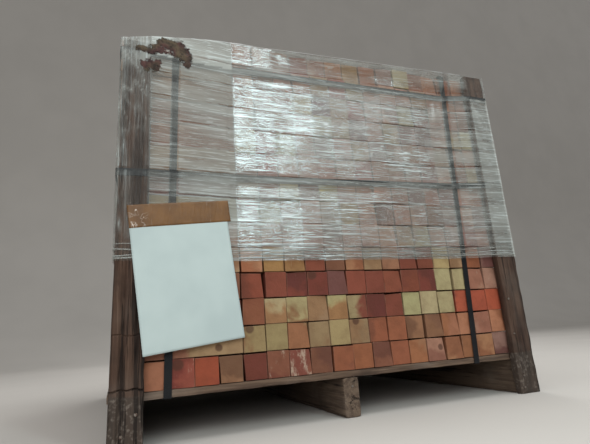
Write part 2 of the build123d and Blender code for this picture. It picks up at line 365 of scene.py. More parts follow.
def clay_finish():
    """Fired clay. Each bar has its own body colour, and patches of a second one towards one side of it."""
    make = Finish("fired_clay", roughness=0.9, specular=0.25)
    own = make.attribute("own_place", "Vector")
    place = make.shifted(own, make.attribute("phase", "Vector"))
    toward = make.dot(own, make.attribute("lean", "Vector"))
    wave = make.noise(place, 26.0, detail=2.5, distortion=0.4)
    patch = make.span(make.plus(make.plus(toward, wave), make.attribute("share")), 0.88, 1.14)
    colour = make.blend(patch, make.attribute("body", "Color"), make.attribute("flash", "Color"))
    cloud = make.noise(place, 34.0, detail=4.0)
    colour = make.blend(make.span(cloud, 0.35, 0.75, 0.0, 0.30), colour, KILN_SHADE)
    lime = make.drawn_noise(place, (95.0, 95.0, 30.0), (3.1, 1.7, 5.3), detail=5.0, roughness=0.7)
    limed = make.plus(make.attribute("limed"), lime)
    colour = make.blend(make.span(limed, 0.70, 0.86, 0.0, 0.62), colour, LIME)
    off = make.vectors("SUBTRACT", own, make.attribute("mark", "Vector"))
    mark = make.reckon("DIVIDE", make.dot(off, off), make.attribute("mark_area")).outputs[0]
    colour = make.blend(make.span(make.plus(mark, wave), 1.0, 2.0, 0.75, 0.0), colour, BURNT)
    speck = make.span(make.cells(place, 300.0), 0.05, 0.20, 1.0, 0.0)
    speck = make.times(speck, make.span(make.noise(place, 90.0), 0.48, 0.66))
    colour = make.blend(make.times(speck, 0.6), colour, IRON_SPECK)
    rim = make.times(make.attribute("rim"), make.span(lime, 0.3, 0.7))
    colour = make.blend(make.times(rim, 0.5), colour, WORN_CLAY)
    normal = make.bump(make.noise(place, 520.0, detail=2.0), 0.0006, 0.6)
    normal = make.bump(make.noise(place, 95.0, detail=3.0), 0.002, 0.6, normal)
    return make.finish(Base_Color=colour, Normal=normal, Roughness=make.span(cloud, 0.3, 0.7, 0.82, 0.95))


BLEACHED = (138, 128, 118)
GREY_FOOT = ((66, 59, 53), (112, 104, 96))
CRACK_SHADE = (24, 18, 15)


def wood_finish(name, axis, dark, middle, pale, grey=0.3, grey_foot=0.0):
    """Weathered softwood with its grain along one axis. It can be greyer up to just above the deck."""
    make = Finish(name, roughness=0.85, specular=0.25)
    place = make.place()
    along = [60.0] * 3
    along[axis] = 2.2
    fibres = [420.0] * 3
    fibres[axis] = 9.0
    sway = make.times(make.noise(place, 7.0, detail=2.0), 0.02)
    bent = make.shifted(place, make.add("ShaderNodeCombineXYZ", X=sway, Y=sway, Z=0.0).outputs[0])
    rings = make.drawn_noise(bent, along, detail=4.0, roughness=0.6)
    lines = make.drawn_noise(place, fibres, detail=3.0, roughness=0.7)
    colour = make.blend(make.span(rings, 0.36, 0.62), dark, middle)
    colour = make.blend(make.span(lines, 0.52, 0.78, 0.0, 0.75), colour, pale)
    stain = make.noise(place, 9.0, detail=4.0, roughness=0.6)
    colour = make.blend(make.span(stain, 0.5, 0.72, 0.0, 0.6), colour, scaled(dark, 0.62))
    bleached = make.noise(make.shifted(place, (7.7, 2.2, 4.1)), 6.0, detail=3.0)
    colour = make.blend(make.span(bleached, 0.5, 0.75, 0.0, grey), colour, BLEACHED)
    if grey_foot:
        height = make.plus(make.dot(place, (0.0, 0.0, 1.0)), sway)
        foot = make.span(height, 0.108, 0.114, grey_foot, 0.0)
        flecks = make.span(make.noise(place, 130.0, detail=3.0), 0.5, 0.7)
        colour = make.blend(foot, colour, make.blend(flecks, *GREY_FOOT))
    # Painted shade: thin cracks, made only as bumps, are darkened nearly to black
    cracks = make.drawn_noise(place, scaled(along, 0.55), detail=5.0, roughness=0.75)
    split = make.span(cracks, 0.36, 0.42, 1.0, 0.0)
    colour = make.blend(make.times(split, 0.8), colour, CRACK_SHADE)
    normal = make.bump(lines, 0.0012, 0.9)
    normal = make.bump(rings, 0.003, 0.6, normal)
    normal = make.bump(make.minus(1.0, split), 0.003, 0.8, normal)
    return make.finish(Base_Color=colour, Normal=normal)


def strap_finish():
    """Dark polypropylene strap with its waffle pattern."""
    make = Finish("strap_plastic", specular=0.2)
    place = make.place()
    waffle = make.add("ShaderNodeTexWave", {"bands_direction": "DIAGONAL"}, Vector=place, Scale=160.0)
    dust = make.noise(place, 26.0, detail=4.0)
    colour = make.blend(make.span(dust, 0.4, 0.75, 0.0, 0.6), (14, 16, 20), (33, 33, 34))
    return make.finish(Base_Color=colour, Normal=make.bump(waffle.outputs["Fac"], 0.0006, 0.6),
                       Roughness=make.span(dust, 0.3, 0.8, 0.35, 0.7))


def film_finish():
    """Stretch film: clear to cloudy, drawn out in fine level streaks. Its unwrapped map is in metres.
    It is duller where it hangs free, and glossy and finely creased where it clings.
    Its streaks are painted lighter as glints, most where it is least dull."""
    make = Finish("clear_film", specular=1.0)
    make.shader.inputs["IOR"].default_value = 1.9
    flat = make.unwrapped()
    dull = make.attribute("dull")
    broad = make.drawn_noise(flat, (2.2, 30.0, 1.0), detail=4.0, roughness=0.6)
    fine = make.drawn_noise(flat, (6.0, 210.0, 1.0), detail=3.0, roughness=0.65)
    dashes = make.drawn_noise(flat, (26.0, 300.0, 1.0), (3.0, 1.0, 0.0), detail=2.0)
    veil = make.span(broad, 0.34, 0.68, -0.10, 0.14)
    lines = make.reckon("MAXIMUM", make.span(fine, 0.53, 0.64), make.span(dashes, 0.57, 0.67)).outputs[0]
    strength = make.plus(make.span(dull, -1.0, 0.0, 0.50, 0.0), make.span(dull, 0.0, 1.0, 0.26, 0.08))
    cloud = make.plus(make.plus(make.attribute("haze"), veil), make.times(lines, strength), clamp=True)
    # The dark joints between the courses show through as thin broken lines
    height = make.minus(make.dot(make.place(), (0.0, 0.0, 1.0)), (DECK_TOP - BAR_JOINT) * MM)
    gap = make.reckon("PINGPONG", height, BAR_HEIGHT / 2 * MM).outputs[0]
    broken = make.span(make.drawn_noise(flat, (7.0, 20.0, 1.0), (5.0, 2.0, 0.0)), 0.42, 0.56)
    shown = make.times(make.span(gap, 0.0009, 0.0026, 1.0, 0.0), broken)
    shown = make.times(shown, make.attribute("seam"))
    cloud = make.minus(cloud, make.times(shown, 0.45), clamp=True)
    alpha = make.plus(make.times(cloud, FILM_CLOUDY - FILM_CLEAR), FILM_CLEAR)
    colour = make.blend(make.span(broad, 0.3, 0.7), (126, 126, 118), (145, 149, 142))
    # Painted glints: the streaks are lightened nearly to white, most where the film is least dull
    painted_glint = make.times(lines, make.span(dull, -1.0, 0.0, 1.0, 0.55))
    colour = make.blend(painted_glint, colour, (196, 208, 207))
    normal = make.bump(fine, 0.0014, 0.6)
    normal = make.bump(dashes, 0.0012, 0.8, normal)
    normal = make.bump(broad, 0.003, 0.15, normal)
    return make.finish(Base_Color=colour, Alpha=alpha, Normal=normal,
                       Roughness=make.span(dull, 0.0, 1.0, 0.20, 0.85))


def paper_finish():
    make = Finish("blank_paper", roughness=0.7, specular=0.3)
    place = make.place()
    shade = make.noise(place, 7.0, detail=3.0)
    colour = make.blend(make.span(shade, 0.35, 0.7), (171, 185, 184), (181, 195, 193))
    fibre = make.noise(place, 900.0, detail=2.0)
    return make.finish(Base_Color=colour, Normal=make.bump(fibre, 0.0002, 0.4))


def tape_finish():
    """Brown packing tape, a little see-through, with pale creases."""
    make = Finish("brown_tape", roughness=0.4, specular=0.4)
    place = make.place()
    crease = make.drawn_noise(place, (160.0, 160.0, 22.0), detail=3.0, distortion=1.5)
    mottle = make.noise(place, 24.0, detail=4.0)
    colour = make.blend(make.span(mottle, 0.3, 0.75), (116, 79, 36), (95, 63, 28))
    # Crumpled at its left end, over the post
    crumple = make.minus(make.noise(place, 42.0, detail=2.0, distortion=0.8), 0.5)
    ridge = make.span(make.reckon("ABSOLUTE", crumple, 0.0).outputs[0], 0.0, 0.012, 1.0, 0.0)
    left = make.span(make.dot(place, (1.0, 0.0, 0.0)), -0.470, -0.452, 1.0, 0.0)
    colour = make.blend(make.times(ridge, left), colour, (206, 196, 184))
    colour = make.blend(make.span(crease, 0.68, 0.76, 0.0, 0.4), colour, (190, 180, 166))
    return make.finish(Base_Color=colour, Alpha=make.span(mottle, 0.2, 0.8, 0.98, 0.90),
                       Normal=make.bump(crease, 0.002, 0.6))


def mud_finish():
    """Dried mud, red brown in places and ochre in others, a little see-through where it is thin."""
    make = Finish("dried_mud", roughness=0.85, specular=0.3)
    place = make.place()
    mottle = make.noise(place, 70.0, detail=5.0, roughness=0.7)
    lightness = make.span(mottle, 0.35, 0.65)
    red = make.blend(lightness, (42, 27, 26), (80, 54, 50))
    ochre = make.blend(lightness, (48, 41, 34), (86, 73, 57))
    earth = make.noise(make.shifted(place, (0.0, 0.0, 0.4)), 17.0, detail=2.0)
    thick = make.plus(make.attribute("crust"), make.span(mottle, 0.3, 0.7, -0.12, 0.12))
    return make.finish(Base_Color=make.blend(make.span(earth, 0.44, 0.58), red, ochre),
                       Alpha=make.span(thick, 0.0, 0.5, 0.22, 1.0), Normal=make.bump(mottle, 0.003, 0.8))


def nail_finish():
    """Steel that has partly rusted."""
    make = Finish("rusty_nail", roughness=0.6)
    rust = make.noise(make.place(), 260.0, detail=4.0)
    colour = make.blend(make.span(rust, 0.35, 0.6), (72, 46, 34), (120, 112, 104))
    return make.finish(Base_Color=colour, Metallic=0.6, Normal=make.bump(rust, 0.0006, 0.6))


def floor_finish(colour):
    make = Finish("pale_floor", roughness=0.9, specular=0.1)
    drift = make.noise(make.place(), 1.5, detail=2.0)
    return make.finish(Base_Color=make.blend(make.span(drift, 0.3, 0.7), colour, scaled(colour, 0.98)))


CLAY = clay_finish()
POST_WOOD = wood_finish("post_wood", 2, (46, 32, 26), (76, 57, 46), (106, 85, 71), grey=0.2, grey_foot=0.7)
DECK_WOOD = wood_finish("deck_wood", 0, (70, 55, 46), (104, 85, 70), (136, 116, 98))
STRINGER_WOOD = wood_finish("stringer_wood", 1, (76, 62, 52), (104, 88, 74), (134, 118, 102))
STRAP = strap_finish()
FILM = film_finish()
PAPER = paper_finish()
TAPE = tape_finish()
MUD = mud_finish()
NAIL = nail_finish()


# Making meshes and objects

def new_object(name, mesh, material=None):
    thing = bpy.data.objects.new(name, mesh)
    bpy.context.scene.collection.objects.link(thing)
    if material is not None:
        mesh.materials.clear()
        mesh.materials.append(material)
    return thing


def in_metres(points):
    return [(x * MM, y * MM, z * MM) for x, y, z in points]


def mesh_of(name, points, faces, smooth=True):
    """A mesh from points in millimetres."""
    mesh = bpy.data.meshes.new(name)
    mesh.from_pydata(in_metres(points), [], faces)
    mesh.polygons.foreach_set("use_smooth", [smooth] * len(faces))
    mesh.update()
    return mesh


def places_object(name, points, edges=()):
    """Bare points in millimetres, with edges or without, for a node tree to work on."""
    mesh = bpy.data.meshes.new(name)
    mesh.from_pydata(in_metres(points), list(edges), [])
    return new_object(name, mesh)


def grid_faces(columns, rows, closed=False):
    """Faces of a grid whose points run along each row, column by column."""
    around = columns if closed else columns - 1
    return [
        (row * columns + column, row * columns + (column + 1) % columns,
         (row + 1) * columns + (column + 1) % columns, (row + 1) * columns + column)
        for row in range(rows - 1) for column in range(around)
    ]


def mark_points(mesh, name, values):
    """Give each point of a mesh a number, which its material reads."""
    mesh.attributes.new(name, "FLOAT", "POINT")
    mesh.attributes[name].data.foreach_set("value", values)


def unwrap(mesh, flat):
    """Put a place on the flat for each point into the mesh's map."""
    uv = mesh.uv_layers.new(name="flat")
    for loop in mesh.loops:
        uv.data[loop.index].uv = flat[loop.vertex_index]


def grain(x, y, z, seed):
    """Smooth noise from -1 to 1."""
    return noise.noise(Vector((x + seed * 17.3, y + seed * 5.1, z - seed * 9.7)))


def swell(x, y, z, seed):
    """Smooth noise from 0 to 1."""
    return 0.5 + 0.5 * grain(x, y, z, seed)


def ease(value, low, high):
    """0 up to low, 1 from high on, and smoothly up in between."""
    share = min(max((value - low) / (high - low), 0.0), 1.0)
    return share * share * (3 - 2 * share)


def settle(piece, slot, *nodes):
    """Make a piece ride with the pallet and hide the nodes that it stands for. The slot is not used."""
    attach(piece, "root")
    if nodes:
        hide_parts(*nodes)


# Growing meshes with node trees

class Growth(Nodes):
    """A geometry node tree in the making. Its inputs are named, each with the kind of its socket."""

    def __init__(self, name, inputs):
        super().__init__(bpy.data.node_groups.new(name, "GeometryNodeTree"))
        for label, kind in inputs.items():
            self.tree.interface.new_socket(label, in_out="INPUT", socket_type=f"NodeSocket{kind}")
        self.tree.interface.new_socket("Result", in_out="OUTPUT", socket_type="NodeSocketGeometry")
        self.start = self.tree.nodes.new("NodeGroupInput")
        self.end = self.tree.nodes.new("NodeGroupOutput")

    def given(self, label):
        return self.start.outputs[label]

    def named(self, attribute):
        node = self.add("GeometryNodeInputNamedAttribute", {"data_type": "FLOAT"}, Name=attribute)
        return node.outputs["Attribute"]

    def drawn(self, kind, low, high, seed):
        """A value by chance from low to high, for each point."""
        first_input, output = {"FLOAT_VECTOR": (0, 0), "FLOAT": (2, 1), "INT": (4, 2)}[kind]
        node = self.add("FunctionNodeRandomValue", {"data_type": kind}, Seed=seed)
        self.feed(node.inputs[first_input], low)
        self.feed(node.inputs[first_input + 1], high)
        return node.outputs[output]

    def turned(self, angles):
        return self.add("FunctionNodeEulerToRotation", Euler=angles).outputs[0]

    def close(self, geometry, material):
        """Realize what was made, give it its material and end the tree."""
        real = self.add("GeometryNodeRealizeInstances", Geometry=geometry)
        done = self.add("GeometryNodeSetMaterial", Geometry=real.outputs[0], Material=material)
        self.tree.links.new(done.outputs[0], self.end.inputs["Result"])
        return self.tree


def input_id(tree, name):
    """The identifier of a tree's named input."""
    for item in tree.interface.items_tree:
        if item.name == name and item.in_out == "INPUT":
            return item.identifier
    raise KeyError(name)


def grown(name, source, tree, values):
    """Run a node tree on an object and return its result as a plain mesh. The source is removed."""
    modifier = source.modifiers.new(name, "NODES")
    modifier.node_group = tree
    for key, value in values.items():
        modifier[input_id(tree, key)] = value
    bpy.context.view_layer.update()
    graph = bpy.context.evaluated_depsgraph_get()
    mesh = bpy.data.meshes.new_from_object(
        source.evaluated_get(graph), preserve_all_data_layers=True, depsgraph=graph)
    source.modifiers.remove(modifier)
    bpy.data.objects.remove(source)
    mesh.name = name
    return new_object(name, mesh)


# Clay bars

TO_FOOT = (0.0, 0.0, -1.0)
TO_RIGHT = (1.0, 0.0, 0.0)
TO_NEAR = (0.0, -1.0, 0.0)     # the front end, or on a crosswise bar its right
# Each clay: its body, its patches, how far they spread, how limed it is, and the side that they keep to
CLAYS = {
    "v": ((150, 74, 52), (120, 58, 44), 0.15, 0.02, None),        # vermilion
    "r": ((128, 68, 55), (106, 52, 44), 0.35, 0.08, None),        # rose red
    "d": ((108, 55, 44), (90, 46, 40), 0.40, 0.05, None),         # dark brick
    "m": ((104, 68, 62), (132, 102, 92), 0.30, 0.10, None),       # mauve
    "b": ((114, 74, 56), (98, 62, 50), 0.35, 0.05, None),         # brown
    "o": ((136, 88, 62), (150, 106, 78), 0.35, 0.05, None),       # orange tan
    "k": ((138, 92, 74), (154, 116, 96), 0.40, 0.08, None),       # pink tan
    "t": ((130, 100, 72), (142, 116, 86), 0.40, 0.04, None),      # tan
    "g": ((138, 104, 66), (122, 84, 54), 0.30, 0.02, None),       # golden
    "y": ((146, 127, 90), (128, 96, 66), 0.22, 0.04, None),       # yellow
    "c": ((160, 149, 111), (140, 126, 92), 0.25, 0.05, None),     # cream
    "h": ((154, 142, 104), (136, 100, 68), 0.80, 0.03, TO_FOOT),  # cream above, orange below
    "s": ((112, 62, 50), (126, 78, 60), 0.40, 0.15, None),        # brick with lime streaks
    "q": ((150, 132, 98), (108, 58, 46), 0.52, 0.05, TO_RIGHT),   # cream left, brick right
    "a": ((132, 80, 56), (120, 72, 52), 0.30, 0.03, None),        # orange brown
    "e": ((119, 64, 48), (106, 56, 43), 0.35, 0.04, None),        # brick orange
    "n": ((128, 93, 68), (114, 80, 60), 0.35, 0.04, None),        # nut brown
    "f": ((158, 107, 79), (146, 94, 66), 0.35, 0.03, None),       # bright orange tan
    "p": ((138, 96, 66), (152, 132, 98), 0.32, 0.03, TO_RIGHT),   # tan orange, cream on the right
    "w": ((148, 104, 84), (146, 121, 92), 0.50, 0.04, TO_NEAR),   # pink to light tan
}
FRONT_ROWS = {  # the clay of each bar that shows on the front, by course and from left to right
    1: "bfrvndssbaabaokooom",
    2: "wyyptytaannffkf",
    3: "rahhthqdecccvvv",
    4: "beeddmeeeedcckk",
    5: "toggebotneeytam",
    14: "tkkkrkogomcaoao",
}
PLAIN_MIX = "kotbrvdgymshocq"     # of the other bars in the bare courses
HIDDEN_MIX = "kkkotmkrbkmtcyko"   # and of those in the courses above
# Burnt marks on some, by course and bar from 0 on: the place on the bar's own shape, and the radius
MARKS = {
    (1, 2): (-8.0, -127.0, 46.0, 12.0), (1, 14): (13.0, -127.0, 34.0, 8.0),
    (2, 0): (-25.0, -75.0, 15.0, 8.0), (2, 1): (-10.0, -127.0, 52.0, 10.0),
    (2, 6): (-8.0, -127.0, 54.0, 9.0), (4, 4): (-14.0, -127.0, 50.0, 11.0),
}
NO_MARK = (900.0, 0.0, 0.0, 1.0)  # too far off to show

# A course's rows, and the start and end of its bars in the column and along each face
Course = namedtuple("Course", "rows column column_side front back setbacks")
# A bar's middle, width and clay, whether it lies crosswise, and its number in the front row if it is there
Bar = namedtuple("Bar", "x y width clay crosswise front")


def spread(length, count, width, rng, wide=()):
    """Start and end of each of count bars along a length, with uneven joints between them."""
    joints = [WIDE_WEIGHT if joint in wide else rng.uniform(*JOINT_WEIGHTS) for joint in range(1, count)]
    share = (length - count * width) / sum(joints)
    spans = []
    start = 0.0
    for joint in joints + [0.0]:
        spans.append((start, start + width))
        start += width + joint * share
    return spans


def moved(spans, by):
    return [(start + by, end + by) for start, end in spans]


def course_layout(course):
    """Where a course's bars lie, and how far each stands back from each face of the load."""
    rng = random.Random(course)
    rows = [(n * ROW_PITCH, n * ROW_PITCH + BAR_LENGTH) for n in range(ROWS_DEEP)]
    if course in END_ON_COURSES:
        column = spread(BAR_LENGTH, COLUMN_BARS, BAR_LENGTH / COLUMN_BARS - TIGHT_JOINT, rng)
        column_side = rows
    else:
        column = [(0.0, BAR_LENGTH)]
        column_side = spread(LOAD_DEPTH, CROSSWISE_BARS, BAR_WIDTH, rng)
    front = spread(END_ON_WIDTH, END_ON_BARS, BAR_WIDTH, rng, WIDE_JOINTS.get(course, ()))
    back = spread(END_ON_WIDTH, END_ON_BARS, BAR_WIDTH, rng)
    counts = (len(column) + len(front), len(rows), len(back) + len(column), len(column_side))
    setbacks = [[rng.uniform(0, MAX_SETBACK) for _ in range(count)] for count in counts]
    setbacks[LEFT] = scaled(setbacks[LEFT], LEFT_SETBACK)
    if course == COURSES:
        setbacks[FRONT] = list(TOP_SETBACKS)
    return Course(rows, column, column_side, front, back, setbacks)


def row_spans(laid, row):
    """Left and right end of each bar in one row of a course, the column's first."""
    column = moved(laid.column, LOAD_LEFT)
    if row < ROWS_DEEP - 1:
        return column + moved(laid.front, END_ON_LEFT)
    return column + [(LOAD_RIGHT - end, LOAD_RIGHT - start) for start, end in reversed(laid.back)]


def column_bar(laid, number):
    """Middle, across and back, and width of a crosswise bar, counted from the back."""
    start, end = laid.column_side[number]
    x = LOAD_LEFT + BAR_LENGTH / 2 + laid.setbacks[LEFT][number]
    y = LOAD_BACK - (start + end) / 2
    width = end - start
    if number == 0:
        width -= laid.setbacks[BACK][-1]
        y -= laid.setbacks[BACK][-1] / 2
    if number == len(laid.column_side) - 1:
        width -= laid.setbacks[FRONT][0]
        y += laid.setbacks[FRONT][0] / 2
    return x, y, width


def course_bars(course):
    """All bars of a course, those that lie crosswise last."""
    laid = course_layout(course)
    crosswise = course not in END_ON_COURSES
    rng = random.Random(100 + course)
    named = FRONT_ROWS.get(course, "")
    mix = PLAIN_MIX if course <= BARE_COURSES else HIDDEN_MIX
    bars = []
    for row, (near, far) in enumerate(laid.rows):
        y = LOAD_FRONT + (near + far) / 2
        spans = row_spans(laid, row)
        for number, (x0, x1) in enumerate(spans):
            if crosswise and number == 0:
                continue    # the column's place
            clay = named[number] if row == 0 and named else rng.choice(mix)
            in_by = 0.0
            if row == 0:
                in_by = laid.setbacks[FRONT][number]
            elif row == ROWS_DEEP - 1:
                in_by = -laid.setbacks[BACK][len(spans) - 1 - number]
            bars.append(Bar((x0 + x1) / 2, y + in_by, x1 - x0, clay, False, number if row == 0 else None))
    if crosswise:
        last = len(laid.column_side) - 1
        for number in range(last + 1):
            if course == COURSES and number == last:
                continue    # missing
            clay = named[0] if number == last and named else rng.choice(mix)
            bars.append(Bar(*column_bar(laid, number), clay, True, 0 if number == last else None))
    return bars


def chip(mesh, number, rng):
    """Break off a corner at the front end, of the last chipped shape at its foot."""
    side = -1 if number % 2 else 1
    up = BAR_HEIGHT if number < CHIPPED_BLANKS - 1 else 0.0
    broken = Vector((side * BAR_WIDTH / 2, -BAR_LENGTH / 2, up)) * MM
    middle = Vector((0, 0, BAR_HEIGHT / 2 * MM))
    size = rng.uniform(*CHIP_SIZES) * MM
    for vert in mesh.verts:
        if (vert.co - broken).length < CHIP_REACH * MM:
            vert.co += (middle - vert.co).normalized() * size * rng.uniform(0.4, 1.0)
            vert.co.x -= side * size * rng.uniform(0.1, 0.7)


def bar_blank(number):
    """One shape of bar, lying along Y on its own origin: worn arrises, and a broken corner on some."""
    rng = random.Random(300 + number)
    mesh = bmesh.new()
    bmesh.ops.create_cube(mesh, size=1.0)
    for vert in mesh.verts:
        x, y, z = vert.co
        vert.co = Vector((x * BAR_WIDTH, y * BAR_LENGTH, (z + 0.5) * BAR_HEIGHT)) * MM
    bmesh.ops.bevel(mesh, geom=list(mesh.edges), offset=BAR_ARRIS * MM, segments=1, affect="EDGES")
    play = BAR_PLAY * MM
    for vert in mesh.verts:
        vert.co += Vector([rng.uniform(-play, play) for _ in range(3)])
        vert.co.z = min(max(vert.co.z, 0.0), BAR_HEIGHT * MM)
    if number < CHIPPED_BLANKS:
        chip(mesh, number, rng)
    rim = mesh.faces.layers.float.new("rim")
    for face in mesh.faces:
        face[rim] = 0.0 if max(abs(value) for value in face.normal) > 0.95 else 1.0
    own = mesh.verts.layers.float_vector.new("own_place")
    for vert in mesh.verts:
        vert[own] = vert.co
    result = bpy.data.meshes.new(f"bar_blank_{number}")
    mesh.to_mesh(result)
    mesh.free()
    return bpy.data.objects.new(f"bar_blank_{number}", result)


def bar_tree():
    """A bar on each point, each a little lower and turned by chance."""
    build = Growth("stack of bars", {
        "Places": "Geometry", "Blanks": "Collection", "Clay": "Material", "Slack": "Float", "Tilt": "Float",
        "Blank count": "Int", "Seed": "Int",
    })
    seeds = [build.plus(build.given("Seed"), 100 * draw) for draw in (1, 2, 3)]
    height = build.drawn("FLOAT", build.minus(1.0, build.given("Slack")), 1.0, seeds[0])
    tilt = build.drawn("FLOAT", build.times(build.given("Tilt"), -1.0), build.given("Tilt"), seeds[1])
    pick = build.drawn("INT", 0, build.minus(build.given("Blank count"), 1.0), seeds[2])
    blanks = build.add("GeometryNodeCollectionInfo", Collection=build.given("Blanks"),
                       Separate_Children=True, Reset_Children=True)
    scale = build.add("ShaderNodeCombineXYZ", X=build.named("wide"), Y=1.0, Z=height)
    angles = build.add("ShaderNodeCombineXYZ", X=0.0, Y=tilt, Z=build.named("turn"))
    placed = build.add("GeometryNodeInstanceOnPoints", Points=build.given("Places"),
                       Instance=blanks.outputs[0], Pick_Instance=True, Instance_Index=pick,
                       Rotation=build.turned(angles.outputs[0]), Scale=scale.outputs[0])
    return build.close(placed.outputs[0], build.given("Clay"))


def varied(colour, rng):
    """A clay colour a little lighter or darker, as no two bars are the same."""
    light = 1 + rng.uniform(-BODY_PLAY, BODY_PLAY)
    return linear([min(255, value * light * (1 + rng.uniform(-HUE_PLAY, HUE_PLAY))) for value in colour])


# What each bar's point carries for the node tree and the clay, and the kind of each
BAR_LAYERS = {
    "wide": "FLOAT", "turn": "FLOAT", "share": "FLOAT", "limed": "FLOAT", "phase": "FLOAT_VECTOR",
    "lean": "FLOAT_VECTOR", "body": "FLOAT_COLOR", "flash": "FLOAT_COLOR", "mark": "FLOAT_VECTOR",
    "mark_area": "FLOAT",
}
LAYER_FIELDS = {"FLOAT": "value", "FLOAT_VECTOR": "vector", "FLOAT_COLOR": "color"}


def bar_values(bar, course, rng):
    """One bar's value for each of the layers."""
    body, flash, share, limed, lean = CLAYS[bar.clay]
    way = rng.uniform(0, 2 * math.pi)
    lean = lean or (math.cos(way), 0.0, math.sin(way))
    *middle, radius = MARKS.get((course, bar.front), NO_MARK)
    return {
        "mark": scaled(middle, MM),
        "mark_area": (radius * MM) ** 2,
        "wide": bar.width / BAR_WIDTH * rng.uniform(*BAR_WIDTHS),
        "turn": (math.pi / 2 if bar.crosswise else 0.0) + rng.uniform(-1, 1) * BAR_TURN,
        "share": share + rng.uniform(-0.12, 0.12),
        "limed": limed * rng.uniform(0.5, 1.3),
        "lean": scaled(lean, PATCH_LEAN),
        "phase": [rng.uniform(0, 40) for _ in range(3)],
        "body": varied(body, rng),
        "flash": varied(flash, rng),
    }


def course_object(course, tree, blanks):
    """All bars of one course as one object."""
    rng = random.Random(500 + course)
    bars = course_bars(course)
    z = DECK_TOP + (course - 1) * BAR_HEIGHT
    places = places_object("bar places", [(bar.x, bar.y, z) for bar in bars])
    attributes = places.data.attributes
    for name, kind in BAR_LAYERS.items():
        attributes.new(name, kind, "POINT")
    for number, bar in enumerate(bars):
        for name, value in bar_values(bar, course, rng).items():
            setattr(attributes[name].data[number], LAYER_FIELDS[BAR_LAYERS[name]], value)
    return grown(f"bars_{course:02d}", places, tree, {
        "Blanks": blanks, "Clay": CLAY, "Slack": BAR_SLACK if course < COURSES else BAR_SLACK / 2,
        "Tilt": BAR_TILT, "Blank count": BAR_BLANKS, "Seed": 40 + course})


def make_load():
    blanks = bpy.data.collections.new("bar blanks")
    for number in range(BAR_BLANKS):
        blanks.objects.link(bar_blank(number))
    tree = bar_tree()
    for course in range(1, COURSES + 1):
        settle(course_object(course, tree, blanks), "fired_clay", f"course_{course:02d}")
    for blank in list(blanks.objects):
        bpy.data.objects.remove(blank)
    bpy.data.collections.remove(blanks)


# Wood

# A board's section, its wear and raised grain, and the splits and breaks in it
Board = namedtuple("Board", "wide tall wear ridge splits breaks seed")


def board_outline(width, height, cell):
    """Points round a rectangle with its first corner at 0, 0, closer together near the corners."""
    first, second = CORNER_STOPS

    def stops(length):
        inner = length - 2 * second
        count = max(int(inner / cell), 1)
        between = [second + inner * (n + 1) / count for n in range(count)]
        return [0.0, first, second] + between + [length - first]

    points = [(a, 0.0) for a in stops(width)]
    points += [(width, b) for b in stops(height)]
    points += [(width - a, height) for a in stops(width)]
    points += [(0.0, height - b) for b in stops(height)]
    return points


def board_stops(length, step, breaks):
    """Where the rings of points lie along a board, closer together at its ends and round its breaks."""
    count = max(int(length / step), 4)
    inner = length - 2 * END_STOP
    stops = [0.0] + [END_STOP + inner * n / count for n in range(count + 1)] + [length]
    return sorted(stops + [level + 0.4 + n for level, _ in breaks for n in range(-7, 7)])


def on_side(board, side, a, b):
    """Whether a point of the section lies on one of its sides, which are counted round it from 0 to 3."""
    if side in (0, 2):
        return min(b, board.tall - b) < ON_FACE and (b > board.tall / 2) == (side == 2)
    return min(a, board.wide - a) < ON_FACE and (a > board.wide / 2) == (side == 1)


def split_in(board, split, a, b, stop):
    """How deep a split is at a point."""
    side, place, start, end, width, depth = split
    if not on_side(board, side, a, b) or not start <= stop <= end:
        return 0.0
    spot = a if side in (0, 2) else b
    off = abs(spot - place - 2.5 * grain(stop * 0.02, place, side, board.seed + 11))
    closing = min(1.0, (stop - start) / SPLIT_RUN_OUT + 0.1, (end - stop) / SPLIT_RUN_OUT + 0.1)
    return depth * max(0.0, 1 - off / width) * closing


def break_in(board, level, depth, a, stop):
    """How deep a break is at a point of side 0. Below it the wood lies a little deeper than above."""
    off = stop - level - 4.0 * grain(a * 0.07, level, 0.0, board.seed + 13)
    if off >= BREAK_HALF:
        return 0.0
    return depth * max(0.0, 1 - abs(off) / BREAK_HALF) + min(0.25 * depth, 1.0)


def worn_in(board, a, b, stop, at_end):
    """How far in from the true section the wood lies at a point, both ways across the board."""
    near_a = min(a, board.wide - a)
    near_b = min(b, board.tall - b)
    ridge = board.ridge * swell(a * 0.28, b * 0.28, stop * 0.006, board.seed)
    ridge += 0.5 * board.ridge * swell(a * 0.05, b * 0.05, stop * 0.02, board.seed + 3)
    edge = (0.6 if a > board.wide / 2 else 0.0, 0.9 if b > board.tall / 2 else 0.0)
    worn = board.wear * max(0.15, 0.55 + 0.9 * grain(*edge, stop * 0.024, board.seed + 7))
    worn *= 0.7 * max(0.0, 1 - math.hypot(near_a, near_b) / (board.wear * 2.0))
    in_a = worn + (ridge if near_a < ON_FACE else 0.0)
    in_b = worn + (ridge if near_b < ON_FACE else 0.0)
    for split in board.splits:
        cut = split_in(board, split, a, b, stop)
        if split[0] in (0, 2):
            in_b += cut
        else:
            in_a += cut
    if on_side(board, 0, a, b):
        in_b += sum(break_in(board, level, depth, a, stop) for level, depth in board.breaks)
    if at_end:
        in_a += END_WORN if near_a < board.wide * 0.2 else 0.0
        in_b += END_WORN if near_b < board.tall * 0.2 else 0.0
    return in_a, in_b


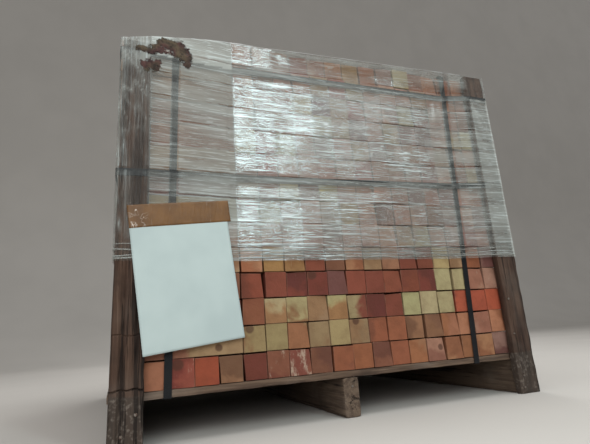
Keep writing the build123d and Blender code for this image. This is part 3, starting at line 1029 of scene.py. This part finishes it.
def sawn_board(name, node, axis, material, seed, wear=3.0, ridge=0.5, cell=9.0, step=12.0,
               splits=(), breaks=(), lean=0.0):
    """A sawn board in a node's place with its grain along one axis: worn edges, raised grain and splits.

    Each split is (side, place, start, end, width, depth): side 0 to 3 round the section, place across that
    side, start and end along the board. Each break is (place along the board, depth), a ragged crack across
    the grain on side 0. The lean is how far the board's top is moved to the right."""
    low, high = corners(node)
    size = high - low
    first, second = [n for n in range(3) if n != axis]
    board = Board(size[first], size[second], wear, ridge, splits, breaks, seed)
    outline = board_outline(board.wide, board.tall, cell)
    stops = board_stops(size[axis], step, breaks)
    points = []
    for stop in stops:
        for a, b in outline:
            in_a, in_b = worn_in(board, a, b, stop, stop in (stops[0], stops[-1]))
            place = [0.0, 0.0, 0.0]
            place[first] = low[first] + a + (in_a if a < board.wide / 2 else -in_a)
            place[second] = low[second] + b + (in_b if b < board.tall / 2 else -in_b)
            place[axis] = low[axis] + stop
            place[0] += lean * (place[2] - low.z) / (high.z - low.z)
            points.append(place)
    around = len(outline)
    faces = grid_faces(around, len(stops), closed=True)
    faces.append(tuple(range(around)))
    faces.append(tuple((len(stops) - 1) * around + n for n in range(around)))
    mesh = mesh_of(name, points, faces)
    outward = bmesh.new()
    outward.from_mesh(mesh)
    bmesh.ops.recalc_face_normals(outward, faces=outward.faces)
    outward.to_mesh(mesh)
    outward.free()
    mesh.set_sharp_from_angle(angle=math.radians(38))
    return new_object(name, mesh, material)


STRINGERS = ("stringer_left", "stringer_centre", "stringer_right")
STRINGER_SPLITS = ((1, 30.0, 0.0, 160.0, 4.0, 5.0), (3, 52.0, 0.0, 120.0, 4.0, 4.0))
POST_SPLITS = {
    "post_front_left": ((0, 20.0, 0.0, 420.0, 5.0, 6.0), (0, 47.0, 150.0, 700.0, 4.5, 5.0),
                        (0, 9.0, 300.0, 867.0, 4.5, 4.0), (1, 11.0, 40.0, 500.0, 4.0, 4.0)),
    "post_front_right": ((0, 36.0, 0.0, 300.0, 4.5, 4.0), (0, 15.0, 420.0, 914.0, 4.5, 4.0)),
    "post_back_left": ((2, 30.0, 0.0, 380.0, 4.5, 5.0),),
    "post_back_right": ((2, 40.0, 300.0, 914.0, 4.5, 5.0),),
}
POST_WEARS = {"post_front_left": 4.5}
POST_BREAKS = {"post_front_left": ((110.0, 5.0), (212.0, 2.0))}


def make_pallet():
    for number in range(1, DECK_BOARDS + 1):
        node = f"deck_board_{number}"
        settle(sawn_board(f"deck_{number}", node, 0, DECK_WOOD, number), "deck_wood", node)
    for number, node in enumerate(STRINGERS):
        beam = sawn_board(f"beam_{number + 1}", node, 1, STRINGER_WOOD, 20 + number, cell=7.0,
                          splits=STRINGER_SPLITS)
        settle(beam, "deck_wood", node)


def make_posts():
    for number, (node, splits) in enumerate(POST_SPLITS.items()):
        post = sawn_board(node.replace("post", "upright"), node, 2, POST_WOOD, 40 + number,
                          wear=POST_WEARS.get(node, 3.0), ridge=1.3, cell=3.6, step=8.0, splits=splits,
                          breaks=POST_BREAKS.get(node, ()), lean=POST_LEANS[node])
        settle(post, "post_wood", node)


def nail_tree():
    """A nail head on each point, facing forward and turned a little by chance."""
    build = Growth("nail heads", {
        "Places": "Geometry", "Steel": "Material", "Radius": "Float", "Depth": "Float",
        "Least turn": "Vector", "Most turn": "Vector", "Seed": "Int",
    })
    head = build.add("GeometryNodeMeshCylinder", Vertices=12, Radius=build.given("Radius"),
                     Depth=build.given("Depth"))
    turn = build.drawn("FLOAT_VECTOR", build.given("Least turn"), build.given("Most turn"),
                       build.given("Seed"))
    placed = build.add("GeometryNodeInstanceOnPoints", Points=build.given("Places"),
                       Instance=head.outputs[0], Rotation=build.turned(turn))
    return build.close(placed.outputs[0], build.given("Steel"))


# Where the nails are, from a post's inner edge outwards and above the floor
RIGHT_NAILS = ((10, 244), (9, 152), (18, 46), (14, 16))
LEFT_NAILS = ((14, 66), (40, 30))
BACK_NAILS = ((16, 60), (44, 34))


def make_nails():
    """Nail heads in the posts and in the front end of the middle stringer."""
    low, high = corners("stringer_centre")
    post = corners("post_front_right")[0]
    back = corners("post_back_right")[1].y
    places = [((low.x + high.x) / 2 + 3, low.y, high.z - 20)]
    places += [(post.x + x, post.y, z) for x, z in RIGHT_NAILS]
    places += [(-post.x - x, post.y, z) for x, z in LEFT_NAILS]
    places += [(side * (post.x + x), back, z) for side in (-1, 1) for x, z in BACK_NAILS]
    forward = math.pi / 2
    heads = grown("nail_heads", places_object("nail places", places), nail_tree(), {
        "Steel": NAIL, "Radius": NAIL_RADIUS * MM, "Depth": NAIL_DEPTH * MM,
        "Least turn": (forward - NAIL_TILT, -NAIL_TILT, 0.0),
        "Most turn": (forward + NAIL_TILT, NAIL_TILT, 0.0), "Seed": 3})
    settle(heads, None)


# The film's plan

# A side of the film: start, direction and length, how far the load's face and its start lie in from there,
# and how far a post reaches along it
Side = namedtuple("Side", "number x y dx dy length deep start post")
# A spot of the plan: place, outward direction, run from the front left corner, side and place along it
Spot = namedtuple("Spot", "x y nx ny run side along")
# A bar's face: its ends, how far it stands back, and the film's turn, nod and cloudiness on it
Flat = namedtuple("Flat", "start end back turn nod cloud")


def film_sides():
    """The four sides of the film."""
    low = corners("post_front_left")[0]
    high = corners("post_back_right")[1]
    left = low.x - FILM_LIFT
    front = low.y - FILM_LIFT
    right = high.x + FILM_LIFT
    back = high.y + FILM_LIFT
    width = right - left
    depth = back - front
    wide_post, thin_post = POST_REACHES
    return (
        Side(FRONT, left, front, 1, 0, width, LOAD_FRONT - front, LOAD_LEFT - left, wide_post),
        Side(RIGHT, right, front, 0, 1, depth, right - LOAD_RIGHT, LOAD_FRONT - front, thin_post),
        Side(BACK, right, back, -1, 0, width, back - LOAD_BACK, right - LOAD_RIGHT, wide_post),
        Side(LEFT, left, back, 0, -1, depth, LOAD_LEFT - left, back - LOAD_BACK, thin_post),
    )


FILM_SIDES = film_sides()
# The level straps: their middles' heights, and how fast they rise to the right
STRAP_LEVELS = tuple(sum(corners(node), Vector()).z / 2 for node in ("strap_lower", "strap_upper"))
STRAP_RISES = (math.tan(math.radians(LOWER_BAND_TURN)), 0.0)
UPRIGHT_STRAPS = tuple(corners(node) for node in ("strap_left", "strap_right"))
# The middle of each upright strap at its foot and at its top
UPRIGHT_MIDDLES = tuple((low.x + BAND_HALF, high.x - BAND_HALF) for low, high in UPRIGHT_STRAPS)
STRAP_TOP = UPRIGHT_STRAPS[0][1].z


def film_plan(step):
    """Spots round the posts, a step apart on the front and further apart on the other sides."""
    spots = []
    run = 0.0
    for side in FILM_SIDES:
        straight = side.length - 2 * FILM_BEND
        count = max(int(straight / (step if side.number == FRONT else step * 2.5)), 4)
        for n in range(count + 1):
            along = FILM_BEND + straight * n / count
            spots.append(Spot(side.x + side.dx * along, side.y + side.dy * along, side.dy, -side.dx,
                              run + along, side, along))
        bend = side.length - FILM_BEND
        for n in (1, 2):
            angle = math.pi / 2 * n / 3
            nx = side.dx * math.sin(angle) + side.dy * math.cos(angle)
            ny = side.dy * math.sin(angle) - side.dx * math.cos(angle)
            spots.append(Spot(side.x + side.dx * bend - side.dy * FILM_BEND + nx * FILM_BEND,
                              side.y + side.dy * bend + side.dx * FILM_BEND + ny * FILM_BEND,
                              nx, ny, run + bend + angle * FILM_BEND, side, side.length))
        run += side.length
    return spots


def leaned(x, y, z):
    """A place on the film, moved along the front as the posts lean. On the left side the load holds it."""
    front_left, front_right, back_right, back_left = FILM_LEANS
    across = min(max((x - DECK_LOW.x) / (DECK_HIGH.x - DECK_LOW.x), 0.0), 1.0)
    behind = min(max((y - LOAD_FRONT) / LOAD_DEPTH, 0.0), 1.0)
    left = front_left * max(1 - (y - LOAD_FRONT) / SIDE_RUN, 0.0)
    left += back_left * max(1 - (LOAD_BACK - y) / SIDE_RUN, 0.0)
    right = front_right * (1 - behind) + back_right * behind
    lean = min(left, front_left) * max(1 - across * 3, 0.0) + right * max(across * 3 - 2, 0.0)
    return (x + lean * z / LOAD_TOP, y, z)


def drawn_in(spot, inward, z):
    """Where the film lies at a spot and a height, so far in from the plan."""
    return leaned(spot.x - spot.nx * inward, spot.y - spot.ny * inward, z)


def film_top(spot):
    """Height of the film's upper edge: lower where it comes down to the short post."""
    side = spot.side
    top = LOAD_TOP + FILM_LIFT
    if side.number == FRONT:
        top -= FILM_CORNER_DROP * max(1 - spot.along / FILM_CORNER_REACH, 0.0) ** 1.3
    if side.number == LEFT:
        top -= FILM_CORNER_DROP * ease(spot.along, side.length - FILM_CORNER_BACK, side.length)
    return top


def film_run(side, along, z):
    """How far in from the posts the film lies on its way to the load and over the straps there."""
    if RUNS[side.number] is None:
        return 0.0
    first, last = RUNS[side.number]
    if side.number == FRONT:
        last += (TOP_RUN - last) * ease(z, LOAD_TOP - BAR_HEIGHT, LOAD_TOP)
    share = min((along - side.post) / first, (side.length - along - side.post) / last, 1.0)
    return (side.deep - STRAP_PROUD) * max(share, 0.0)


# The film on the load

def strap_gaps(x, z):
    """How far above each level strap's middle a place is."""
    return [z - level - rise * x for level, rise in zip(STRAP_LEVELS, STRAP_RISES)]


def course_at(z):
    """The number of the course at a height."""
    return int((z - DECK_TOP) // BAR_HEIGHT) + 1


def face_flats():
    """For each side and course, the faces of the bars there."""
    rng = random.Random(FILM_SEED)
    flats = {}
    for course in range(1, COURSES + 1):
        laid = course_layout(course)
        faces = {
            FRONT: laid.column + moved(laid.front, COLUMN_PITCH),
            RIGHT: laid.rows,
            BACK: laid.back + moved(laid.column, END_ON_WIDTH + COLUMN_JOINT),
            LEFT: laid.column_side,
        }
        for side, spans in faces.items():
            flats[side, course] = [
                Flat(start, end, back, rng.gauss(0, 0.005), rng.gauss(0, 0.005), rng.uniform(0, 1))
                for (start, end), back in zip(spans, laid.setbacks[side])]
    return flats


def crease_in(crease, off):
    """How far in a crease draws the film, this far from its middle."""
    depth, half = crease
    return depth * (1 - ease(off, 0.0, half))


def clinging(bars, deep, place, rise, bridge):
    """How far in the film lies on a course's bars, and how cloudy it is on the one there: flat on each bar,
    creased at the joints, and drawn tight from the bars that stand furthest forward. place is along the
    face, and rise above the course's foot."""
    bar = bars[0]
    for each in bars:
        if place >= each.start - BAR_JOINT / 2:
            bar = each
    turn = (place - (bar.start + bar.end) / 2) * bar.turn * min(1.0, BAR_WIDTH / (bar.end - bar.start))
    face = deep + bar.back - FILM_REST + turn + (rise - BAR_HEIGHT / 2) * bar.nod
    level_off = min(abs(rise), abs(BAR_HEIGHT - rise))
    upright_off = min(abs(place - bar.start), abs(place - bar.end))
    face += max(crease_in(LEVEL_CREASE, level_off), crease_in(UPRIGHT_CREASE, upright_off))
    for each in bars:
        off = max(each.start - place, place - each.end, 0.0)
        face = min(face, deep + each.back - FILM_REST + 0.3 + bridge * off)
    return face, bar.cloud


def film_depth(flats, spot, z):
    """How far in from the posts the film lies, how cloudy it is there, and whether it clings: held out by
    posts and straps, else drawn in until it clings to the bars."""
    side = spot.side
    off_strap = max(min(abs(gap) for gap in strap_gaps(spot.x, z)) - STRAP_HALF, 0.0)
    if RUNS[side.number] is None:
        inner = ease(min(spot.along, side.length - spot.along), side.post, 300.0)
        return SIDE_SAG * inner * ease(off_strap, 0.0, 120.0), 0.30, False
    free = film_run(side, spot.along, z)
    if free > side.deep - STRAP_PROUD - 0.1:
        free += off_strap * STRAP_SLOPE
    course = min(max(course_at(z), 1), COURSES)
    rise = z - DECK_TOP - (course - 1) * BAR_HEIGHT
    bridge = BRIDGE if course < COURSES else TOP_BRIDGE
    face, cloud = clinging(flats[side.number, course], side.deep, spot.along - side.start, rise, bridge)
    if side.number in (FRONT, BACK):
        for low, high in UPRIGHT_STRAPS:
            if low.x - UPRIGHT_EDGE < spot.x < high.x + UPRIGHT_EDGE:
                face = min(face, side.deep - UPRIGHT_PROUD)
    if face < free:
        return face, 0.42 + 0.14 * cloud, True
    return free, 0.42, False


def ripples(spot, z, inward, off_strap, loose):
    """How much further in ripples and the gathered lower edge draw the film. Ripples spare the straps."""
    room = min(inward, 1.0) * ease(off_strap, STRAP_HALF, 2 * STRAP_HALF)
    drawn = loose * 0.8 * room * swell(spot.run * 0.003, z * 0.11, 0.0, 1)
    drawn += loose * 1.2 * room * swell(spot.run * 0.0016, z * 0.035, 0.0, 2)
    pinch = 1 - ease(abs(z - FILM_FOOT - 14), 0.0, 26.0)
    return drawn + pinch * swell(spot.run * 0.012, z * 0.35, 0.0, 4)


def post_crease(along, away, z):
    """How sharply the film is creased on a post: slantwise near the top, and upright along its edge."""
    slant = 1 - abs(grain((along + z * 0.42) * 0.045, (z - along) * 0.009, 0.0, 16)) * 4.5
    slant = max(slant, 0.0) ** 2 * (0.25 + 0.75 * ease(z, 620.0, 800.0))
    slant *= 0.3 + 0.7 * ease(grain(along * 0.01, z * 0.012, 0.0, 18), -0.3, 0.3)
    upright = 1 - abs(grain(away * 0.16, z * 0.005, 0.0, 17)) * 3.6
    return max(slant, max(upright, 0.0) ** 2 * (1 - ease(away, 8.0, 24.0)))


def post_cloud(spot, z, crease, low_down):
    """How cloudy the film is on a post: milky at the short post's top, and up to the upper strap on the
    front right one, which is bare above it."""
    if spot.side.number != FRONT:
        return 0.55 * crease
    if spot.along < spot.side.length / 2:
        return 0.55 * crease + 0.52 * ease(z, LOAD_TOP - 130, LOAD_TOP - 84)
    return 0.54 + 0.3 * crease if low_down else -0.25


def over_uprights(spot, z):
    """For each upright strap, how far off its middle the film is at a spot of the front."""
    x = leaned(spot.x, spot.y, z)[0]
    return [abs(x - foot - (top - foot) * z / LOAD_TOP) for foot, top in UPRIGHT_MIDDLES]


def film_state(flats, spot, z):
    """How far in the film lies at a spot of the plan and a height, how cloudy and how dull it is there,
    and how much of the joints between the courses it lets through."""
    side = spot.side
    on_front = side.number == FRONT
    away = min(spot.along, side.length - spot.along)
    gaps = strap_gaps(spot.x, z)
    off_strap = min(abs(gap) for gap in gaps)
    low_down = gaps[1] < 0    # below the upper strap
    inward, cloud, touching = film_depth(flats, spot, z)
    inward += ripples(spot, z, inward, off_strap, 0.15 if touching else 1.0)
    dull = 0.8
    seam = 1.0
    if touching:
        dull = -0.6 * ease(grain(spot.x * 0.009, z * 0.014, 0.0, 19), 0.05, 0.3)
    if touching and on_front:
        dull += 0.9 * ease(spot.x, 270.0, 340.0)
        # Over these bars the streaks are strongest and painted brightest as glints
        if 0 < (spot.x - END_ON_LEFT) / (BAR_WIDTH + BAR_JOINT) < GLINT_STRIP_BARS.get(course_at(z), 0):
            dull = -1.0
            if not low_down:
                cloud -= 0.12
    if away < side.post + POST_EDGE:
        crease = post_crease(spot.along, away, z)
        inward += (0.3 + 0.6 * ease(off_strap, STRAP_HALF, 1.5 * STRAP_HALF)) * (1 - crease)
        cloud = post_cloud(spot, z, crease, low_down)
        seam = 0.0
    elif on_front and spot.x < END_ON_LEFT - 2:
        # Off the bars, between the left post and the end-on bars
        cloud = 0.34 + 0.20 * ease(spot.along, 70.0, 230.0) + (0.0 if low_down else 0.60)
        dull = 1.0
    elif on_front and not low_down:
        cloud -= 0.16 * ease(spot.along, 330.0, 640.0)
    if on_front:
        # Clear over the upright straps, and beside the right post
        for off in over_uprights(spot, z):
            cloud -= 0.26 * (1 - ease(off, STRAP_HALF - 2, STRAP_HALF + 1))
            seam *= ease(off, STRAP_HALF, STRAP_HALF + 4)
        if side.length / 2 < spot.along < side.length - side.post:
            cloud -= 0.22 * (1 - ease(side.length - spot.along - side.post, 8.0, 22.0))
    cloud += 0.12 * grain(spot.run * 0.004, z * 0.012, 0.0, 8)
    cloud -= 0.20 * (1 - ease(z, FILM_FOOT + 18, FILM_FOOT + 60))
    for gap in gaps:
        # Clear along a strap's upper edge, where the film bridges the step
        cloud -= 0.22 * ease(gap, 2.0, 6.0) * (1 - ease(gap, 10.0, 14.0))
    # Painted highlight: the film is cloudier, so paler, in a line along the right post's edge
    if on_front and spot.along >= side.length - FILM_BEND - 1:
        cloud += 0.5    # the bright edge on the right post
    return inward, min(max(cloud, -0.5), 1.0), dull, seam


def collar_place(spot, edge, share):
    """Where the collar lies a share of its way in from a place on the film's upper edge, how far in that is,
    and how it is folded there."""
    x, y, z = edge
    reach = FILM_COLLAR * (0.9 + 0.14 * grain(spot.run * 0.006, 3.0, 0.0, 12)) * share
    straight = Vector((-spot.nx, -spot.ny, 0))
    to_middle = Vector((-x, -y, 0)).normalized()
    cornered = 1 - ease(min(spot.along, spot.side.length - spot.along), 0.0, FILM_COLLAR)
    lead = (straight * (1 - cornered) + to_middle * cornered).normalized()
    x += lead.x * reach
    y += lead.y * reach
    fold = grain(spot.run * 0.045, share * 0.8, 0.0, 14) + 0.5 * grain(spot.run * 0.12, share * 1.5, 0.0, 15)
    lift = 0.4 + share * 1.9 * (0.5 + 0.5 * fold)
    off_strap = min(abs(x - top) for _, top in UPRIGHT_MIDDLES)
    over_strap = (STRAP_TOP - LOAD_TOP + 0.4) * (1 - ease(off_strap, 14.0, 26.0))
    # It lies lower over the place of the missing bar
    risen = ease(share, 0.1, 0.4) if z > LOAD_TOP else ease(y, LOAD_FRONT + 4, LOAD_FRONT + 46)
    return (x, y, z + (LOAD_TOP + max(lift, over_strap) - z) * risen), reach, fold


def film_turns(flats):
    """The film as one surface: its wall round the posts, and the collar that is folded in over the top."""
    plan = film_plan(FILM_PITCH)
    points, looks, flat = [], [], []
    for row in range(FILM_ROWS):
        for spot in plan:
            z = FILM_FOOT + (film_top(spot) - FILM_FOOT) * (row / (FILM_ROWS - 1))
            inward, *look = film_state(flats, spot, z)
            points.append(drawn_in(spot, inward, z))
            looks.append(look)
            # On the short post the film is drawn out upright
            upright = spot.side.number == FRONT and spot.along < spot.side.post + POST_EDGE
            flat.append((z * MM, spot.run * MM) if upright else (spot.run * MM, z * MM))
    upper_edge = points[-len(plan):]
    for ring in range(1, COLLAR_RINGS + 1):
        for spot, edge in zip(plan, upper_edge):
            place, reach, fold = collar_place(spot, edge, ring / COLLAR_RINGS)
            points.append(place)
            looks.append((min(max(0.35 + 0.25 * fold, 0.0), 1.0), 0.4, 0.0))
            flat.append((spot.run * MM, (LOAD_TOP + reach) * MM))
    mesh = mesh_of("film_turns", points, grid_faces(len(plan), FILM_ROWS + COLLAR_RINGS, closed=True))
    for name, values in zip(("haze", "dull", "seam"), zip(*looks)):
        mark_points(mesh, name, values)
    unwrap(mesh, flat)
    return new_object("film_turns", mesh, FILM)


def roll_tree():
    """A thin roll of film along a line, wandering a little by chance."""
    build = Growth("roll of film", {
        "Line": "Geometry", "Film": "Material", "Radius": "Float", "Wander": "Float", "Count": "Int",
        "Seed": "Int",
    })
    curve = build.add("GeometryNodeMeshToCurve", Mesh=build.given("Line"))
    even = build.add("GeometryNodeResampleCurve", Curve=curve.outputs[0], Count=build.given("Count"))
    place = build.add("GeometryNodeInputPosition")
    rough = build.add("ShaderNodeTexNoise", {"noise_dimensions": "4D"}, Vector=place.outputs[0],
                      W=build.given("Seed"), Scale=7.0, Detail=3.0)
    rise = build.times(build.minus(rough.outputs[0], 0.5), build.given("Wander"))
    offset = build.add("ShaderNodeCombineXYZ", Z=rise)
    line = build.add("GeometryNodeSetPosition", Geometry=even.outputs[0], Offset=offset.outputs[0])
    ring = build.add("GeometryNodeCurvePrimitiveCircle", Radius=build.given("Radius"), Resolution=6)
    tube = build.add("GeometryNodeCurveToMesh", Curve=line.outputs[0], Profile_Curve=ring.outputs[0])
    soft = build.add("GeometryNodeSetShadeSmooth", Geometry=tube.outputs[0])
    return build.close(soft.outputs[0], build.given("Film"))


def roll_line(flats, rise, radius):
    """The middle of a roll round the film's lower edge."""
    z = FILM_FOOT + rise
    points = []
    for spot in film_plan(ROLL_PITCH):
        inward = max(film_state(flats, spot, z)[0], radius)
        if spot.side.number == FRONT and spot.along < SHEET_ACROSS + SHEET_WIDTH * 0.6:
            inward += radius * 0.8    # flat under the sheet
        points.append(drawn_in(spot, inward, z))
    count = len(points)
    return places_object("roll line", points, [(n, (n + 1) % count) for n in range(count)])


def make_film():
    flats = face_flats()
    settle(film_turns(flats), "clear_film", "stretch_film")
    tree = roll_tree()
    for number, (rise, radius, wander) in enumerate(FILM_ROLLS):
        roll = grown(f"edge_roll_{number + 1}", roll_line(flats, rise, radius), tree, {
            "Film": FILM, "Radius": radius * MM, "Wander": wander * MM, "Count": ROLL_POINTS,
            "Seed": 5 + number})
        mesh = roll.data
        for name, value in (("haze", 0.45), ("dull", 0.15)):
            mark_points(mesh, name, [value] * len(mesh.vertices))
        unwrap(mesh, [(vert.co.x + vert.co.y, vert.co.z) for vert in mesh.vertices])
        settle(roll, "clear_film")
    settle(mud_patch(flats), None)


# Mud on the film

def mud_share(a, b):
    """How thick the mud is at a place, as a share of a splash's middle. Below 0 there is none."""
    share = max(1 - math.hypot((a - x) / wide, (b - y) / tall) for x, y, wide, tall in MUD_SPLASHES)
    return share + 0.42 * grain(a * 0.09, b * 0.11, 0.0, 41) + 0.25 * grain(a * 0.3, b * 0.3, 0.0, 42)


def mud_patch(flats):
    """Dried mud splashed on the film: a ragged thin crust, thickest in the middle of each splash."""
    side = FILM_SIDES[FRONT]
    columns = int(MUD_WIDTH / MUD_CELL)
    rows = int(MUD_HEIGHT / MUD_CELL)
    crust = {(column, row): mud_share(column * MUD_CELL, -row * MUD_CELL)
             for row in range(rows + 1) for column in range(columns + 1)}
    points, shares, faces, index = [], [], [], {}

    def number_of(column, row, back):
        key = (column, row, back)
        if key not in index:
            x, z = MUD_LEFT + column * MUD_CELL, MUD_TOP - row * MUD_CELL
            spot = Spot(x, side.y, 0, -1, x - side.x, side, x - side.x)
            share = min(max(crust[column, row], 0.0), 0.7)
            thick = 0.0 if back else 0.15 + 0.9 * share
            index[key] = len(points)
            points.append(drawn_in(spot, film_state(flats, spot, z)[0] - thick, z))
            shares.append(share)
        return index[key]

    kept = {(column, row) for column in range(columns) for row in range(rows)
            if min(crust[column + i, row + j] for i in (0, 1) for j in (0, 1)) > 0.0}
    for column, row in sorted(kept):
        ring = ((column, row), (column, row + 1), (column + 1, row + 1), (column + 1, row))
        faces.append([number_of(*corner, False) for corner in ring])
        faces.append([number_of(*corner, True) for corner in reversed(ring)])
        for n, (i, j) in enumerate(((-1, 0), (0, 1), (1, 0), (0, -1))):
            first, second = ring[n], ring[(n + 1) % 4]
            if (column + i, row + j) not in kept:
                faces.append([number_of(*second, False), number_of(*first, False),
                              number_of(*first, True), number_of(*second, True)])
    mesh = mesh_of("mud_splash", points, faces)
    mark_points(mesh, "crust", shares)
    return new_object("mud_splash", mesh, MUD)


# Straps. The upright ones keep their own solids.

def level_band(name, level, rise):
    """A level strap under the film, closed round the posts."""
    ring = film_plan(BAND_PITCH)
    around = len(ring)
    points = []
    for under, up in ((BAND_UNDER, -BAND_HALF), (BAND_UNDER, BAND_HALF),
                      (BAND_BACK, BAND_HALF), (BAND_BACK, -BAND_HALF)):
        for spot in ring:
            inward = film_run(spot.side, spot.along, level) + under
            points.append(drawn_in(spot, inward, level + rise * spot.x + up))
    faces = grid_faces(around, 4, closed=True)
    faces += [(3 * around + n, 3 * around + (n + 1) % around, (n + 1) % around, n) for n in range(around)]
    return new_object(name, mesh_of(name, points, faces, smooth=False), STRAP)


def make_straps():
    for node in ("strap_left", "strap_right"):
        strap = frame["nodes"][node]
        strap.data.materials.clear()
        strap.data.materials.append(STRAP)
    for name, level, rise in zip(("lower", "upper"), STRAP_LEVELS, STRAP_RISES):
        settle(level_band(f"band_{name}", level, rise), "strap_plastic", f"strap_{name}")


# Paper and tape

def on_sheet(across, up, y):
    """A place on the turned sheet, measured from the middle of its lower edge."""
    turn = math.radians(SHEET_TURN)
    x = DECK_LOW.x + SHEET_ACROSS + across * math.cos(turn) - up * math.sin(turn)
    z = DECK_TOP + SHEET_RISE + across * math.sin(turn) + up * math.cos(turn)
    return (x, y, z)


def film_front(across, up):
    """How far forward the film is behind a place on the sheet."""
    side = FILM_SIDES[FRONT]
    x, _, z = on_sheet(across, up, 0.0)
    return side.y + film_run(side, x - side.x, z)


def paper_place(across, up):
    """A place on the paper, which stands off towards its lower right corner."""
    hang = (1 - up / SHEET_HEIGHT) ** 1.5
    out = SHEET_HANG * hang * (0.5 + across / SHEET_WIDTH) ** 2
    out += 1.2 * hang * swell(across * 0.018, up * 0.012, 0.0, 21) * ease(across, -60.0, 40.0)
    return on_sheet(across, up, film_front(across, up) - SHEET_OFF - out)


def tape_place(across, up):
    """A place on the tape, which lies over the sheet's upper edge."""
    across += TAPE_SHIFT
    wrinkle = 0.25 * swell((across - TAPE_SHIFT) * 0.09, up * 0.03, 0.0, 31)
    up += SHEET_HEIGHT - TAPE_DROP - TAPE_WIDTH / 2
    return on_sheet(across, up, film_front(across, up) - TAPE_OFF - wrinkle)


def thin_sheet(name, width, height, columns, rows, place, thickness, material):
    """A thin closed sheet: place gives each point from where it is across and up."""
    front, back = [], []
    for row in range(rows):
        for column in range(columns):
            x, y, z = place(width * (column / (columns - 1) - 0.5), height * row / (rows - 1))
            front.append((x, y, z))
            back.append((x, y + thickness, z))
    faces = grid_faces(columns, rows)
    count = len(front)
    faces += [tuple(count + n for n in reversed(face)) for face in faces]
    rim = list(range(columns)) + [columns * row + columns - 1 for row in range(1, rows)]
    rim += [columns * (rows - 1) + n for n in range(columns - 2, -1, -1)]
    rim += [columns * row for row in range(rows - 2, 0, -1)]
    for n, first in enumerate(rim):
        second = rim[(n + 1) % len(rim)]
        faces.append((second, first, first + count, second + count))
    return new_object(name, mesh_of(name, front + back, faces), material)


def make_label():
    paper = thin_sheet("blank_sheet", SHEET_WIDTH, SHEET_HEIGHT, 43, 61, paper_place, SHEET_THICKNESS, PAPER)
    settle(paper, "blank_paper", "paper_sheet")
    tape = thin_sheet("packing_tape", TAPE_LENGTH, TAPE_WIDTH, 60, 14, tape_place, TAPE_THICKNESS, TAPE)
    settle(tape, "brown_tape", "paper_tape")


# Floor, lamps and camera, in metres

FLOOR_HALF = 16.0
FLOOR_NEAR = -8.0
FLOOR_FAR = 4.0
FLOOR_BEND = 3.0               # radius up to the backdrop
FLOOR_BEND_STEPS = 12
BACKDROP_TOP = 15.0
WORLD_STRENGTH = 0.40


def make_stage():
    profile = [(FLOOR_NEAR, 0.0), (FLOOR_FAR, 0.0)]
    for n in range(1, FLOOR_BEND_STEPS + 1):
        angle = math.pi / 2 * n / FLOOR_BEND_STEPS
        profile.append((FLOOR_FAR + FLOOR_BEND * math.sin(angle), FLOOR_BEND * (1 - math.cos(angle))))
    profile.append((FLOOR_FAR + FLOOR_BEND, BACKDROP_TOP))
    points = [(x / MM, y / MM, z / MM) for y, z in profile for x in (-FLOOR_HALF, FLOOR_HALF)]
    faces = [(2 * n, 2 * n + 1, 2 * n + 3, 2 * n + 2) for n in range(len(profile) - 1)]
    floor = new_object("floor", mesh_of("floor", points, faces), floor_finish((196, 192, 186)))


def lamp(name, place, aim, size, power, colour=(1, 1, 1)):
    """A soft rectangular lamp aimed at a place."""
    light = bpy.data.lights.new(name, "AREA")
    light.shape = "RECTANGLE"
    light.size, light.size_y = size
    light.energy = power
    light.color = colour
    thing = bpy.data.objects.new(name, light)
    thing.location = place
    thing.rotation_euler = (Vector(aim) - Vector(place)).to_track_quat("-Z", "Y").to_euler()
    bpy.context.scene.collection.objects.link(thing)


def make_light():
    world = bpy.data.worlds.new("studio")
    world.use_nodes = True
    background = world.node_tree.nodes["Background"]
    background.inputs["Color"].default_value = (1.0, 1.0, 1.0, 1.0)
    background.inputs["Strength"].default_value = WORLD_STRENGTH
    bpy.context.scene.world = world
    lamp("overhead", (0.3, -0.6, 3.4), (0.0, 0.0, 0.6), (3.0, 3.0), 75)
    lamp("front_fill", (-1.6, -3.6, 1.6), (0.0, 0.0, 0.5), (2.4, 2.0), 55)
    lamp("back_fill", (1.5, 3.6, 2.4), (0.0, 0.0, 0.5), (2.4, 2.0), 50)
    lamp("tall_strip", (0.42, -2.55, 1.65), (-0.2, -0.515, 0.66), (0.24, 1.28), 13.5, (0.80, 0.98, 1.0))
    lamp("side_strip", (1.30, -2.55, 1.75), (0.08, -0.515, 0.7), (0.4, 1.5), 4)


def make_camera():
    camera = bpy.data.cameras.new("camera")
    camera.lens = CAMERA_LENS
    camera.sensor_width = CAMERA_SENSOR
    thing = bpy.data.objects.new("camera", camera)
    bpy.context.scene.collection.objects.link(thing)
    heading = Matrix.Rotation(math.radians(-CAMERA_TURN), 4, "Z")
    raised = Matrix.Rotation(math.radians(90 + CAMERA_PITCH), 4, "X")
    rolled = Matrix.Rotation(math.radians(CAMERA_ROLL), 4, "Z")
    thing.matrix_world = Matrix.Translation(CAMERA_PLACE) @ heading @ raised @ rolled
    bpy.context.scene.camera = thing


make_camera()
make_stage()
make_light()
make_load()
make_pallet()
make_posts()
make_nails()
make_straps()
make_film()
make_label()
bpy.context.scene.view_settings.view_transform = "Standard"
